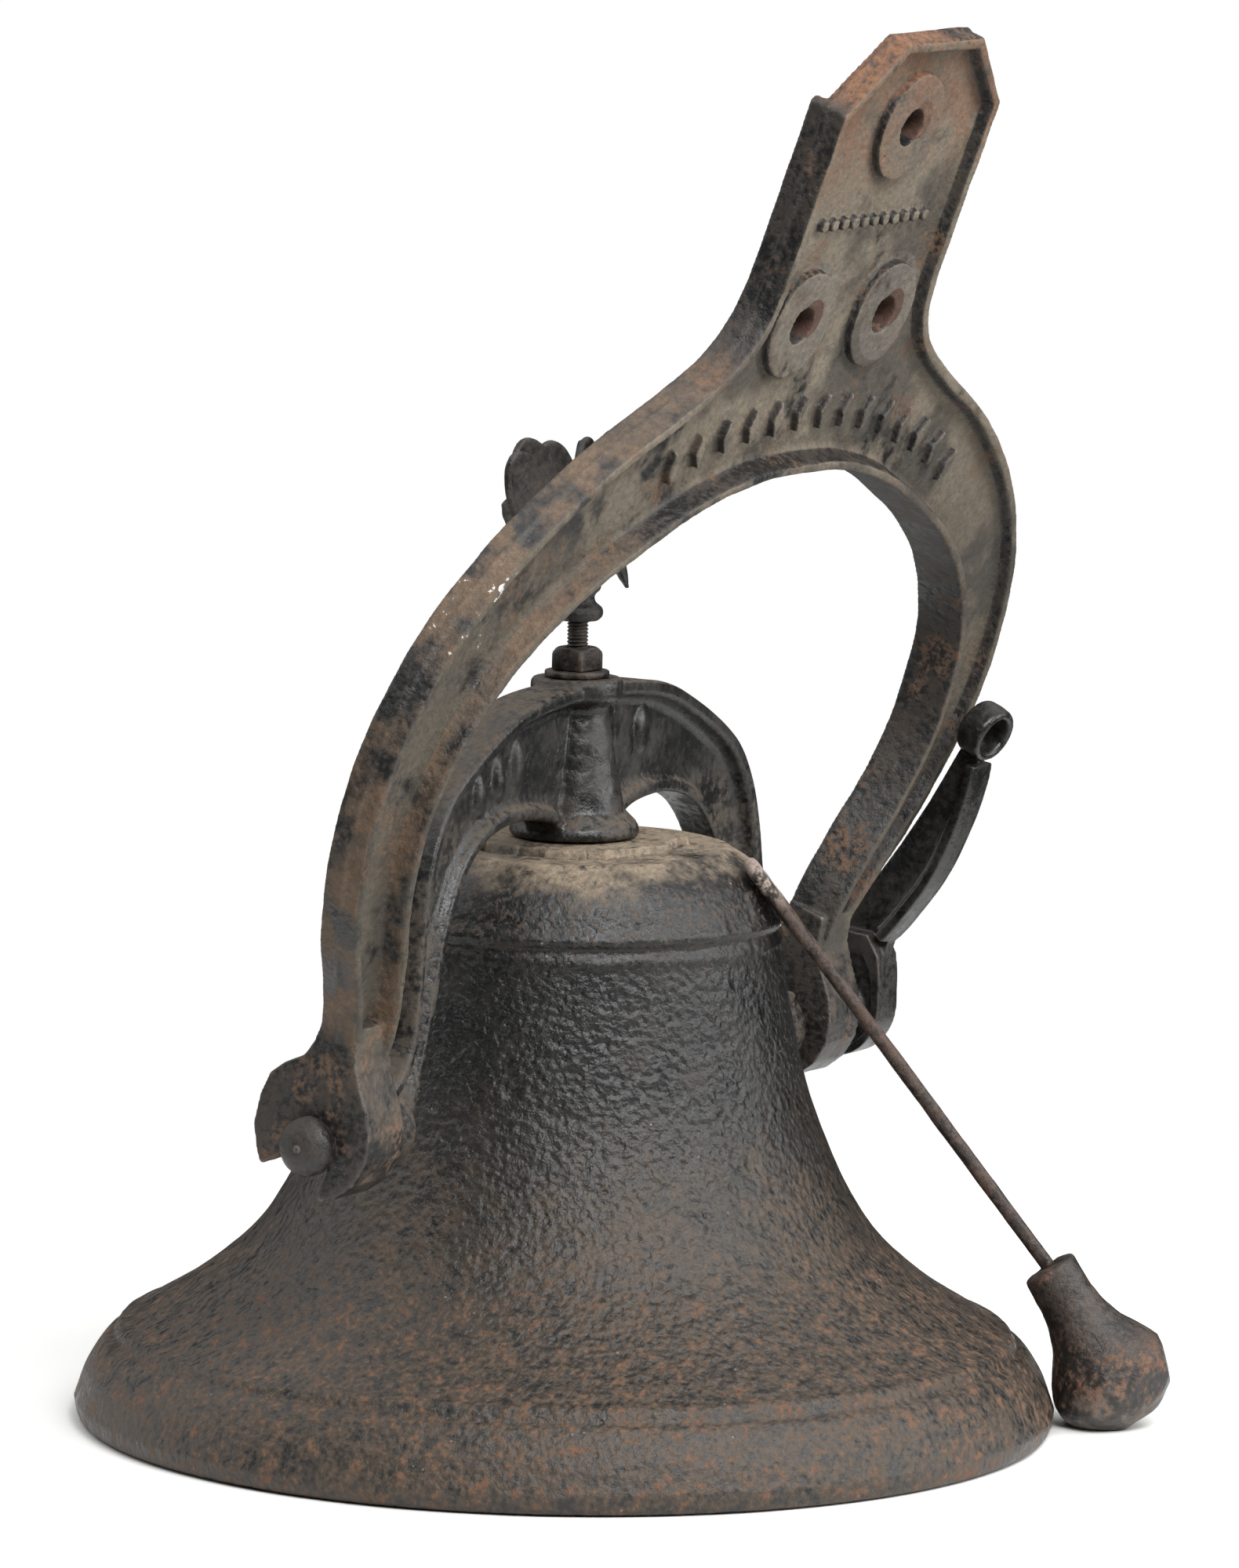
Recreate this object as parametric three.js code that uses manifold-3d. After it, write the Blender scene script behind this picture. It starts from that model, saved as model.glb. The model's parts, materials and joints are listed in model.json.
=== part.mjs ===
// Yard dinner bell: a cast-iron bell standing on its lip, its arched yoke, and the post bracket
// turned over it and hooked onto the two trunnion pins. Units are millimetres, +Z is up and the
// trunnion axis runs along X. The clapper is unhooked and leans on the outside of the bell.
import * as THREE from 'three';
import { mergeVertices } from 'three/addons/utils/BufferGeometryUtils.js';
import Module from 'manifold-3d';

const wasm = await Module();
wasm.setup();

// ---- driving dimensions ----
const GAP = 0.3; // air left between pieces that bear on each other
const LIP_RADIUS = 216; // a 17 inch bell across its lip
const CROWN_Z = 256; // top of the bell at its shoulder
const PAD_Z = 259.5; // raised seat for the yoke on the crown
const PAD_RADIUS = 46;
const AXIS_Z = 152; // trunnion axis above the ground
const LEAN = THREE.MathUtils.degToRad(20.5); // bracket's forward lean, where it meets the lever
const PIN_RADIUS = 8;
const PIN_HEAD_RADIUS = 12.5;
const BOSS_START_X = 148; // inner end of the yoke's trunnion bosses
const BOSS_END_X = 186.5; // and their outer end
const HOUSING_X = [187, 216]; // the bracket's hooked bearing housings
const HOUSING_RADIUS = 29;
const NOTCH_WIDTH = 17.5;
const BOLT_RADIUS = 4.75; // 3/8 inch centre bolt
const BOLT_HOLE_RADIUS = 5.4;
const HUB_TOP_Z = 330;
const LEVER_X = [243, 262]; // rope lever's width along the trunnion axis
const SQUARE = 12; // squared seat for the lever on the right pin
const STUD_RADIUS = 6; // threaded end of the right pin
const PIN_END_X = 278;
const ROD_RADIUS = 3.2; // clapper rod
const HOOK_LENGTH = 46; // doubled-back hook at the rod's top

const UP = new THREE.Vector3(0, 0, 1);

// ---- solids ----
function solid(geometry) {
  const bare = geometry.index ? geometry.toNonIndexed() : geometry.clone();
  for (const name of Object.keys(bare.attributes)) {
    if (name !== 'position') bare.deleteAttribute(name);
  }
  const merged = mergeVertices(bare, 1e-4);
  return new wasm.Manifold(new wasm.Mesh({
    numProp: 3,
    vertProperties: new Float32Array(merged.attributes.position.array),
    triVerts: new Uint32Array(merged.index.array),
  }));
}

function geometryOf(manifold) {
  const mesh = manifold.getMesh();
  const geometry = new THREE.BufferGeometry();
  geometry.setAttribute('position', new THREE.BufferAttribute(mesh.vertProperties, 3));
  geometry.setIndex(new THREE.BufferAttribute(mesh.triVerts, 1));
  return geometry;
}

function join(solids) {
  return solids.reduce((whole, next) => whole.add(next));
}

// A shape drawn in (a, b), raised from c0 to c1 along its own third axis.
function slab(points, c0, c1, holes = []) {
  const shape = new THREE.Shape(points.map(([a, b]) => new THREE.Vector2(a, b)));
  for (const hole of holes) {
    shape.holes.push(new THREE.Path(hole.map(([a, b]) => new THREE.Vector2(a, b))));
  }
  const geometry = new THREE.ExtrudeGeometry(shape, { depth: c1 - c0, bevelEnabled: false });
  return solid(geometry.translate(0, 0, c0));
}

// A solid of revolution about Z from [radius, z] points that begin and end on the axis or close.
function turned(points, segments) {
  const profile = points.map(([r, z]) => new THREE.Vector2(r, z));
  return new THREE.LatheGeometry(profile, segments).rotateX(Math.PI / 2);
}

function disc(radius, z0, z1, segments = 32) {
  return turned([[0, z0], [radius, z0], [radius, z1], [0, z1]], segments);
}

function ring(inner, outer, z0, z1, segments = 32) {
  return turned([[inner, z0], [outer, z0], [outer, z1], [inner, z1], [inner, z0]], segments);
}

function circle(radius, a, b, count) {
  return Array.from({ length: count }, (_, i) => {
    const t = (i / count) * 2 * Math.PI;
    return [a + radius * Math.cos(t), b + radius * Math.sin(t)];
  });
}

// Points of a smooth curve through the given ones.
function smooth(points, count) {
  const curve = new THREE.SplineCurve(points.map(([a, b]) => new THREE.Vector2(a, b)));
  return curve.getSpacedPoints(count).map((p) => [p.x, p.y]);
}

const mirrored = (points) => points.map(([a, b]) => [-a, b]).reverse();

// A point of an open line moved to the right of the way the line runs.
function beside(points, i, distance) {
  const before = points[Math.max(i - 1, 0)];
  const after = points[Math.min(i + 1, points.length - 1)];
  const d = new THREE.Vector2(after[0] - before[0], after[1] - before[1]).normalize();
  return [points[i][0] + d.y * distance, points[i][1] - d.x * distance];
}

// A band along an open line, as wide as the distance and on its right when that is positive.
function rim(points, distance) {
  return [...points, ...points.map((_, i) => beside(points, i, distance)).reverse()];
}

// The outline moved inward by a distance, for outlines that run anticlockwise.
function inset(points, distance) {
  return points.map((p, i) => {
    const before = points[(i + points.length - 1) % points.length];
    const after = points[(i + 1) % points.length];
    const d = new THREE.Vector2(after[0] - before[0], after[1] - before[1]).normalize();
    return [p[0] - d.y * distance, p[1] + d.x * distance];
  });
}

const COLOURS = {
  bell: 0x2c2a28, bracket: 0x6b6154, yoke: 0x2f2e2c, lever: 0x2b2b2a,
  pin: 0x45403c, bolt: 0x5a4436, finial: 0x3a3633, rod: 0x5b443a, head: 0x3d322c,
};

function piece(name, geometry, colour) {
  const material = new THREE.MeshStandardMaterial({
    color: colour, roughness: 0.6, metalness: 0.7,
  });
  const mesh = new THREE.Mesh(geometry, material);
  mesh.name = name;
  return mesh;
}

// ---- bell ----
function bell() {
  const waist = smooth([
    [LIP_RADIUS, 9], [209.7, 25], [197, 40], [165, 60], [141, 80], [126.5, 100], [114, 125],
    [104.5, 150], [98.5, 175], [93.5, 200], [90.5, 222],
  ], 15);
  const shoulder = smooth([
    [90.5, 222], [92.5, 226], [90, 231], [87, 238], [80, 248], [68, CROWN_Z],
  ], 6);
  const outside = [
    [209, 0], [214.5, 2], ...waist, ...shoulder.slice(1),
    [PAD_RADIUS + 2, 257.5], [PAD_RADIUS, PAD_Z], [BOLT_HOLE_RADIUS, PAD_Z],
  ];
  const inside = smooth([
    [70, 243], [79, 234], [82.5, 215], [88, 180], [95, 150], [105, 124], [119, 99], [136, 78],
    [160, 57], [184, 36], [196, 18], [203, 0],
  ], 12);
  const profile = [...outside, [BOLT_HOLE_RADIUS, 246], ...inside, outside[0]];
  return piece('bell', turned(profile, 48), COLOURS.bell);
}

// ---- yoke ----
// Right half of the yoke's outer edge from the top of the arch down to the trunnion boss.
const YOKE_OUTER = [
  [0, 329], [34, 327.5], [66, 321], [99, 307], [125, 291], [139, 272], [146, 252], [150, 230],
  [153, 205], [157, 186], [168, 173], [BOSS_END_X - 4, 169],
];
// Right half of its inner edge, from the hub's foot over the arch opening and down the arm.
const YOKE_INNER = [
  [26, 262], [30, 268], [42, 271.5], [60, 273], [76, 271.5], [90, 267], [100, 260.5], [108, 252],
  [115, 241], [121, 228], [127, 210], [134, 188], [143, 165], [154, 148], [168, 138],
  [BOSS_END_X - 4, 135],
];

function alongX(geometry) {
  return geometry.rotateY(Math.PI / 2);
}

function yokeHub() {
  return solid(turned([
    [0, PAD_Z + GAP], [25, PAD_Z + GAP], [28.5, 262], [28.5, 265], [25, 268.5], [22, 271],
    [13.6, 317], [17, 320], [19.5, 322], [19.5, 328], [17.5, HUB_TOP_Z], [0, HUB_TOP_Z],
  ], 40));
}

function yoke() {
  const outer = smooth(YOKE_OUTER, 17);
  const inner = smooth(YOKE_INNER, 18);
  const half = [...outer, ...inner.slice().reverse()];
  // The web runs on across the hub's axis so that the two halves meet inside the hub.
  const web = [...half, [0, 262]];
  const flat = (points, depth) => {
    const right = slab(points, -depth, depth);
    return right.add(slab(mirrored(points), -depth, depth));
  };
  const ribs = [flat(web, 4.5), flat(rim(outer, 7), 13), flat(rim(inner, -6), 9)];
  const upright = join(ribs).rotate([90, 0, 0]);
  const boss = (x0, x1) => solid(alongX(disc(17, x0, x1, 32)).translate(0, 0, AXIS_Z));
  const bosses = [boss(BOSS_START_X, BOSS_END_X), boss(-BOSS_END_X, -BOSS_START_X)];
  const boltWay = solid(disc(BOLT_HOLE_RADIUS, CROWN_Z, HUB_TOP_Z + 1, 24));
  const pinWay = solid(alongX(disc(PIN_RADIUS + GAP, -200, 200, 32)).translate(0, 0, AXIS_Z));
  const crown = solid(disc(LIP_RADIUS / 2, 200, PAD_Z + GAP, 32));
  let body = join([upright, yokeHub(), ...bosses]);
  for (const cut of [boltWay, crown, pinWay]) body = body.subtract(cut);
  return piece('yoke', geometryOf(body), COLOURS.yoke);
}

// ---- trunnion pins ----
function pinLeft() {
  const head = -HOUSING_X[1] - GAP - 0.7;
  const profile = [
    [0, -152], [PIN_RADIUS, -152], [PIN_RADIUS, head], [PIN_HEAD_RADIUS, head],
    [PIN_HEAD_RADIUS, head - 5], [11, head - 8.5], [7, head - 11], [0, head - 12.3],
  ];
  const geometry = turned(profile.slice().reverse(), 32).rotateY(Math.PI / 2);
  return piece('trunnion_pin_left', geometry.translate(0, 0, AXIS_Z), COLOURS.pin);
}

function box(x0, x1, y0, y1, z0, z1) {
  const geometry = new THREE.BoxGeometry(x1 - x0, y1 - y0, z1 - z0);
  return solid(geometry.translate((x0 + x1) / 2, (y0 + y1) / 2, (z0 + z1) / 2));
}

function pinRight() {
  const shoulder = LEVER_X[0] + 7;
  const round = solid(alongX(disc(PIN_RADIUS, 152, shoulder, 32)));
  const half = SQUARE / 2;
  const square = box(shoulder - 1, LEVER_X[1] - 1, -half, half, -half, half);
  const stud = solid(alongX(disc(STUD_RADIUS, LEVER_X[1] - 2, PIN_END_X, 24)));
  const pin = join([round, square, stud]).translate([0, 0, AXIS_Z]);
  return piece('trunnion_pin_right', geometryOf(pin), COLOURS.pin);
}

// ---- rope lever, drawn as [forward, up] from the trunnion axis ----
const LEVER_FRONT = [[19, 34], [28, 45], [45, 67], [58, 90], [68, 112], [76, 128]];
const LEVER_REAR = [[62, 142], [53, 122], [43, 98], [30, 75], [15, 54], [0, 38], [-16, 22]];
const LEVER_FOOT = [
  [-24, 3], [-20, -13], [-9, -22], [4, -23.5], [17, -17], [24, -4], [24, 12], [21, 26],
];
const EYE = { forward: 71, up: 138, outer: 15, inner: 10.5, depth: 17 };
const EYE_TWIST = THREE.MathUtils.degToRad(20); // the rope eye is turned out from the lever
const EYE_DROP = THREE.MathUtils.degToRad(29); // and its far side looks down the rope

// A [forward, up] outline given thickness along the trunnion axis.
function leverSlab(points, x0, x1) {
  const turn = new THREE.Matrix4().makeBasis(
    new THREE.Vector3(0, -1, 0), new THREE.Vector3(0, 0, 1), new THREE.Vector3(-1, 0, 0));
  const flat = slab(points, -x1, -x0);
  return flat.transform(turn.elements);
}

function leverEye() {
  const { forward, up, outer, inner, depth } = EYE;
  const x = (LEVER_X[0] + LEVER_X[1]) / 2;
  const level = Math.cos(EYE_TWIST);
  const rope = new THREE.Vector3(
    -Math.sin(EYE_TWIST), -level * Math.cos(EYE_DROP), -level * Math.sin(EYE_DROP));
  const turn = new THREE.Quaternion().setFromUnitVectors(UP, rope);
  const half = depth / 2;
  const body = turned([
    [0, -half], [outer - 2, -half], [outer, 2 - half], [outer, half - 2], [outer - 2, half],
    [0, half],
  ], 28);
  const hole = disc(inner, -depth, depth, 24);
  const put = (geometry) => solid(geometry.applyQuaternion(turn).translate(x, -forward, up));
  return { body: put(body), hole: put(hole) };
}

function lever() {
  const [x0, x1] = LEVER_X;
  const front = smooth(LEVER_FRONT, 14);
  const rear = smooth(LEVER_REAR, 14);
  const foot = smooth(LEVER_FOOT, 14);
  const outline = [...foot, ...front, ...rear];
  const web = leverSlab(outline, x0 + 7, x1 - 4);
  const flange = leverSlab(rim(front, -5), x0, x1);
  const hubShape = [...foot, [16, 36], [0, 38], [-12, 27]];
  const hub = leverSlab(hubShape, x0, x1).subtract(leverSlab(inset(hubShape, 4.5), x0 - 1, x0 + 7));
  const eye = leverEye();
  const half = SQUARE / 2 + GAP;
  const seat = box(x0 - 1, x1 + 1, -half, half, -half, half);
  const pinWay = solid(alongX(disc(PIN_RADIUS + GAP, x0 - 2, x0 + 7 + GAP, 32)));
  const body = join([web, flange, hub, eye.body]).subtract(eye.hole).subtract(seat).subtract(pinWay);
  return piece('rope_lever', geometryOf(body.translate([0, 0, AXIS_Z])), COLOURS.lever);
}

function squareNut(across, hole, height) {
  const half = across / 2;
  const body = new THREE.BoxGeometry(across, across, height).translate(0, 0, height / 2);
  const corner = half * Math.SQRT2;
  const chamfered = turned([
    [0, 0], [corner, 0], [corner, height - 2], [half * 1.05, height], [0, height],
  ], 32);
  return solid(body).intersect(solid(chamfered)).subtract(solid(disc(hole, -1, height + 1, 24)));
}

function leverFastening() {
  const x = LEVER_X[1] + GAP;
  const washer = alongX(ring(STUD_RADIUS + GAP, 13, x, x + 2.2, 28)).translate(0, 0, AXIS_Z);
  const nut = squareNut(19, STUD_RADIUS + GAP, 9).rotate([0, 90, 0]);
  const seated = nut.translate([x + 2.2 + GAP, 0, AXIS_Z]);
  return [
    piece('lever_washer', washer, COLOURS.bolt),
    piece('lever_nut', geometryOf(seated), COLOURS.bolt),
  ];
}

// ---- bracket, drawn as [across, along] with its thickness running to the front ----
const REAR = -15; // back edges of the flanges, from the trunnion axis
const RIM_FRONT = 3.5;
const INNER_RIM_FRONT = 7.7;
const WEB = [-9, -2.7];
const TOP_REAR = -5.5; // the tab's head is thinner than its sides
const BOSS_FRONT = 1;
const BOLT_SEATS = [[0, 455], [-36.5, 365], [36.5, 365]];
const SEAT_RADIUS = 24.5;
const SEAT_HOLE_RADIUS = 8.5;
const TAB_OUTLINE = [[33, 496], [70, 465], [70, 450], [70, 384]];
const RING_OUTLINE = [
  [70, 384], [74, 366], [88, 349], [120, 331], [168, 308], [214, 276], [246, 241], [262, 206],
  [267, 172], [262, 138], [246, 98], [229, 72], [214, 46], [212, 30],
];
const OPENING = [
  [0, 294], [40, 292], [84, 282], [124, 266], [162, 247], [194, 222], [215, 192], [222, 162],
  [221, 138], [213, 112], [201, 88], [191, 62], [187, 40], [187, 26],
];

// The same outline on both sides of the centre line, anticlockwise from the lower right.
function bothSides(half) {
  const up = half.slice().reverse();
  const left = half.map(([a, b]) => [-a, b]);
  return [...up, ...left];
}

function housing(side) {
  const [x0, x1] = HOUSING_X;
  const at = side > 0 ? x0 : -x1;
  const drum = solid(alongX(disc(HOUSING_RADIUS, at, at + x1 - x0, 36)).translate(0, 0, -2.5));
  const half = NOTCH_WIDTH / 2;
  const slot = box(at - 1, at + x1 - x0 + 1, -60, 0, -half, half);
  const round = solid(alongX(disc(half, at - 1, at + x1 - x0 + 1, 28)));
  const heel = box(at - 1, at + x1 - x0 + 1, -60, -22, -60, -half + 0.1);
  return { drum, cut: slot.add(round).add(heel) };
}

function bracket() {
  const ringOuter = smooth(RING_OUTLINE, 22);
  const opening = smooth(OPENING, 20);
  const outer = bothSides([...TAB_OUTLINE.slice(0, 3), ...ringOuter]);
  const inner = bothSides(opening).filter(([a], i) => a !== 0 || i < opening.length);
  const web = slab([...outer, ...inner.slice().reverse()], ...WEB);
  const outerBand = slab(rim(outer, -7), REAR, RIM_FRONT);
  const innerBand = slab(rim(inner, 7), REAR, INNER_RIM_FRONT);
  const atSeats = (radius, count, n0, n1) => BOLT_SEATS.map(
    ([a, b]) => slab(circle(radius, a, b, count), n0, n1));
  const seats = atSeats(SEAT_RADIUS, 28, REAR, BOSS_FRONT);
  const holes = atSeats(SEAT_HOLE_RADIUS, 20, REAR - 1, BOSS_FRONT + 1);
  const sides = [housing(1), housing(-1)];
  const relief = slab([[-90, 463], [90, 463], [90, 520], [-90, 520]], REAR - 1, TOP_REAR);
  let body = join([web, outerBand, innerBand, ...sides.map((s) => s.drum)]).subtract(relief);
  body = join([body, ...seats]);
  for (const cut of [...holes, ...sides.map((s) => s.cut)]) body = body.subtract(cut);
  return piece('bracket', geometryOf(body), COLOURS.bracket);
}

// ---- centre bolt, its washers and nut ----
function eyeBolt() {
  const eyeZ = 224;
  const eye = new THREE.TorusGeometry(11, 4, 10, 20).rotateX(Math.PI / 2).translate(0, 0, eyeZ);
  const shank = turned([
    [0, eyeZ + 9], [4.6, eyeZ + 9], [9, 236.5], [9, 239.8], [BOLT_RADIUS, 239.8], [BOLT_RADIUS, 367],
    [3.7, 368], [0, 368],
  ], 24);
  return piece('eye_bolt', geometryOf(solid(eye).add(solid(shank))), COLOURS.bolt);
}

function boltStack() {
  const nut = squareNut(16.6, BOLT_RADIUS + GAP, 10).rotate([0, 0, -7]).translate([0, 0, 333.2]);
  return [
    piece('inner_washer', ring(BOLT_RADIUS + GAP, 15, 240.1, 242.6), COLOURS.bolt),
    piece('top_washer', ring(BOLT_RADIUS + GAP, 14.2, HUB_TOP_Z + GAP, HUB_TOP_Z + 2.9), COLOURS.bolt),
    piece('top_nut', geometryOf(nut), COLOURS.bolt),
  ];
}

// ---- finial: a spread eagle on a turned collar that screws onto the centre bolt ----
const WING = [
  [5, 396], [8, 408], [22, 424], [36, 431], [46, 428], [52, 414], [53, 395], [49, 374], [46, 370],
  [42, 379], [35, 387], [24, 390], [12, 388], [5, 384],
];
const WING_SWEEP = 12; // degrees the wing tips are swept back

function finial() {
  const collar = turned([
    [0, 354.8], [9, 354.8], [11, 357.5], [10.4, 360.5], [7.6, 363], [7.4, 366], [9.8, 369],
    [9.6, 371.5], [7, 374], [6, 377], [9, 384], [11.5, 394], [10.5, 404], [7, 411], [0, 413],
  ], 28);
  const sphere = (r, x, y, z, sx, sy, sz) => solid(
    new THREE.SphereGeometry(r, 12, 8).scale(sx, sy, sz).translate(x, y, z));
  const head = sphere(6.4, 0, -3, 416, 1, 1.1, 1.05);
  const beak = sphere(3, 0, -10, 414, 0.7, 1.6, 0.9);
  const tail = sphere(8, 0, 6, 384, 0.9, 0.5, 1.7);
  const outline = smooth([...WING, WING[0]], 20);
  const wing = (points, sweep) => slab(points, -3, 3).rotate([90, 0, 0]).rotate([0, 0, sweep]);
  const right = wing(outline, WING_SWEEP);
  const left = wing(mirrored(outline), -WING_SWEEP);
  const bore = solid(disc(BOLT_RADIUS + GAP, 350, 369, 24));
  const body = join([solid(collar), head, beak, tail, right, left]).subtract(bore);
  return piece('finial', geometryOf(body), COLOURS.finial);
}

// ---- clapper, leaning on the bell's right front ----
const SIDE = new THREE.Vector3(0.502, -0.865, 0).normalize(); // from the bell to the clapper
const ALONG = new THREE.Vector3(-0.865, -0.502, 0).normalize(); // round the bell, to the left
const ROD_TOP = besideBell(76.4, 28, 253.3);
const ROD_FOOT = besideBell(212, -6, 71.5);
const HEAD_TILT = THREE.MathUtils.degToRad(31);
const HEAD_LENGTH = 82;
const HEAD_PROFILE = [
  [9, 0], [12.4, 3], [13.2, 19], [16.5, 32], [22, 42], [26.5, 50], [29, 57], [28.2, 64], [24, 70.5],
  [16, 77], [9.5, 81],
];

function besideBell(out, along, up) {
  return new THREE.Vector3(0, 0, up).addScaledVector(SIDE, out).addScaledVector(ALONG, along);
}

function rodLine() {
  const down = ROD_FOOT.clone().sub(ROD_TOP).normalize();
  const front = ALONG.clone().addScaledVector(down, -ALONG.dot(down)).normalize();
  return { down, front };
}

function clapperRod() {
  const { down, front } = rodLine();
  const bend = ROD_RADIUS + 0.4;
  const at = (s, f) => ROD_TOP.clone().addScaledVector(down, s).addScaledVector(front, f);
  const points = [at(HOOK_LENGTH, 2 * bend), at(HOOK_LENGTH * 0.5, 2 * bend), at(4, 2 * bend)];
  for (let i = 1; i < 6; i += 1) {
    const t = (i / 6) * Math.PI;
    points.push(at(4 - bend * Math.sin(t), bend + bend * Math.cos(t)));
  }
  const length = ROD_FOOT.distanceTo(ROD_TOP);
  points.push(at(4, 0), at(length * 0.5, 0), at(length + 11, 0));
  const round = circle(ROD_RADIUS, 0, 0, 10).map(([a, b]) => new THREE.Vector2(a, b));
  const extrudePath = new THREE.CatmullRomCurve3(points, false, 'centripetal');
  const options = { steps: 44, extrudePath, bevelEnabled: false };
  const geometry = new THREE.ExtrudeGeometry(new THREE.Shape(round), options);
  return piece('clapper_rod', geometryOf(solid(geometry)), COLOURS.rod);
}

function clapperHead() {
  const axis = SIDE.clone().multiplyScalar(Math.sin(HEAD_TILT)).setZ(-Math.cos(HEAD_TILT));
  const put = (geometry, way) => {
    const turn = new THREE.Quaternion().setFromUnitVectors(UP, way);
    return solid(geometry.applyQuaternion(turn).translate(...ROD_FOOT.toArray()));
  };
  const pear = put(turned([[0, 0], ...HEAD_PROFILE, [0, HEAD_LENGTH]], 28), axis);
  const bore = put(disc(ROD_RADIUS + GAP, -10, 12, 20), rodLine().down);
  const ground = box(0, 400, -500, 0, -60, 0);
  const body = pear.subtract(bore).subtract(ground);
  return piece('clapper_head', geometryOf(body), COLOURS.head);
}

// ---- assembly ----
const leaning = new THREE.Group();
leaning.position.z = AXIS_Z;
leaning.rotation.x = Math.PI / 2 + LEAN;
leaning.add(bracket());

const assembly = new THREE.Group();
assembly.add(bell(), yoke(), pinLeft(), pinRight(), lever(), ...leverFastening(), leaning);
assembly.add(eyeBolt(), ...boltStack(), finial(), clapperRod(), clapperHead());

// The origin is the middle of the whole object's box, on the ground.
assembly.updateMatrixWorld(true);
const extent = new THREE.Box3().setFromObject(assembly);
const centre = extent.getCenter(new THREE.Vector3());
assembly.position.set(-centre.x, -centre.y, -extent.min.z);

export default assembly;
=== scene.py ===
import json
import math

import bmesh
import bpy
import numpy as np
from mathutils import Matrix, Vector
from mathutils.geometry import tessellate_polygon

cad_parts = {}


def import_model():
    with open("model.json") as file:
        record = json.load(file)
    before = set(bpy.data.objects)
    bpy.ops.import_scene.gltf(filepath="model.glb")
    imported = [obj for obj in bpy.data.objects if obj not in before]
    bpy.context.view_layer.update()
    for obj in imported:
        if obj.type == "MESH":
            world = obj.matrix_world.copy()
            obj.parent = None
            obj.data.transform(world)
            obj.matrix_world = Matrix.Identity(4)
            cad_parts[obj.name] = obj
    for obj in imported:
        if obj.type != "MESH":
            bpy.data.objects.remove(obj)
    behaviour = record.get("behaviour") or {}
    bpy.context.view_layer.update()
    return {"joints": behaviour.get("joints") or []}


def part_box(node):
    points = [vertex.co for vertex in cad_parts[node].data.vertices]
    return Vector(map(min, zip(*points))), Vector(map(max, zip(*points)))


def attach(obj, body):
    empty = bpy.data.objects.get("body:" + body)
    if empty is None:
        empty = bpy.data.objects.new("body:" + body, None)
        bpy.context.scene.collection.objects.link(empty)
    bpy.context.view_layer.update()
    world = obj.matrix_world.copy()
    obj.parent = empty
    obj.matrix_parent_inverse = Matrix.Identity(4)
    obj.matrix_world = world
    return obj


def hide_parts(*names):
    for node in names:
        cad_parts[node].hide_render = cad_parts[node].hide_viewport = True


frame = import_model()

MM = 0.001
low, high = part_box("bell")
AXIS = np.array([(low[0] + high[0]) / 2, (low[1] + high[1]) / 2, 0.0])  # the bell's own axis
TRUNNION_Z = frame["joints"][0]["pos_m"][2] / MM
LEAN = math.radians(20.5)
SEATS = [[0, 455], [-36.5, 365], [36.5, 365]]  # across and up the bracket, in mm
UP = np.array([0.0, 0.0, 1.0])


# -------- numbers and curves, in mm
def lattice(i, j, k, seed):
    """A repeatable number from -1 to 1 for each whole-numbered corner, by integer hashing."""
    h = (i * 73856093) ^ (j * 19349663) ^ (k * 83492791) ^ (seed * 2654435761)
    h &= 0xFFFFFFFF
    h = ((h ^ (h >> 13)) * 1274126177) & 0xFFFFFFFF
    return ((h ^ (h >> 16)) & 0xFFFF) / 32767.5 - 1


def noise(points, cell, seed=1):
    """Smooth value noise from -1 to 1 at each point, with features about one cell across."""
    p = np.asarray(points, float) / cell
    base = np.floor(p).astype(np.int64)
    f = p - base
    f = f * f * (3 - 2 * f)
    total = np.zeros(len(p))
    for a in (0, 1):
        for b in (0, 1):
            for c in (0, 1):
                corner = lattice(base[:, 0] + a, base[:, 1] + b, base[:, 2] + c, seed)
                wx = f[:, 0] if a else 1 - f[:, 0]
                wy = f[:, 1] if b else 1 - f[:, 1]
                wz = f[:, 2] if c else 1 - f[:, 2]
                total += corner * wx * wy * wz
    return total


def curve(points, count):
    """Evenly spaced points on a smooth line through the given ones."""
    p = np.asarray(points, float)
    p = np.vstack([2 * p[0] - p[1], p, 2 * p[-1] - p[-2]])
    fine = []
    for i in range(1, len(p) - 2):
        t = np.linspace(0, 1, 24, endpoint=False)[:, None]
        a, b, c, d = p[i - 1], p[i], p[i + 1], p[i + 2]
        fine.append(0.5 * (2 * b + (c - a) * t + (2 * a - 5 * b + 4 * c - d) * t ** 2
                           + (3 * b - a - 3 * c + d) * t ** 3))
    fine.append(p[-2][None])
    return even(np.vstack(fine), count)


def even(line, count):
    """The line resampled to evenly spaced points."""
    line = np.asarray(line, float)
    step = np.linalg.norm(np.diff(line, axis=0), axis=1)
    along = np.concatenate([[0], np.cumsum(step)])
    wanted = np.linspace(0, along[-1], count)
    return np.stack([np.interp(wanted, along, line[:, k]) for k in range(line.shape[1])], axis=1)


def sideways(line):
    """Unit vectors to the right of the way an open 2-D line runs."""
    d = np.gradient(line, axis=0)
    d /= np.linalg.norm(d, axis=1)[:, None]
    return np.stack([d[:, 1], -d[:, 0]], axis=1)


def circle(radius, a, b, count):
    """Points round the 2-D centre a, b."""
    t = np.linspace(0, 2 * math.pi, count, endpoint=False)
    return np.stack([a + radius * np.cos(t), b + radius * np.sin(t)], axis=1)


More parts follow.
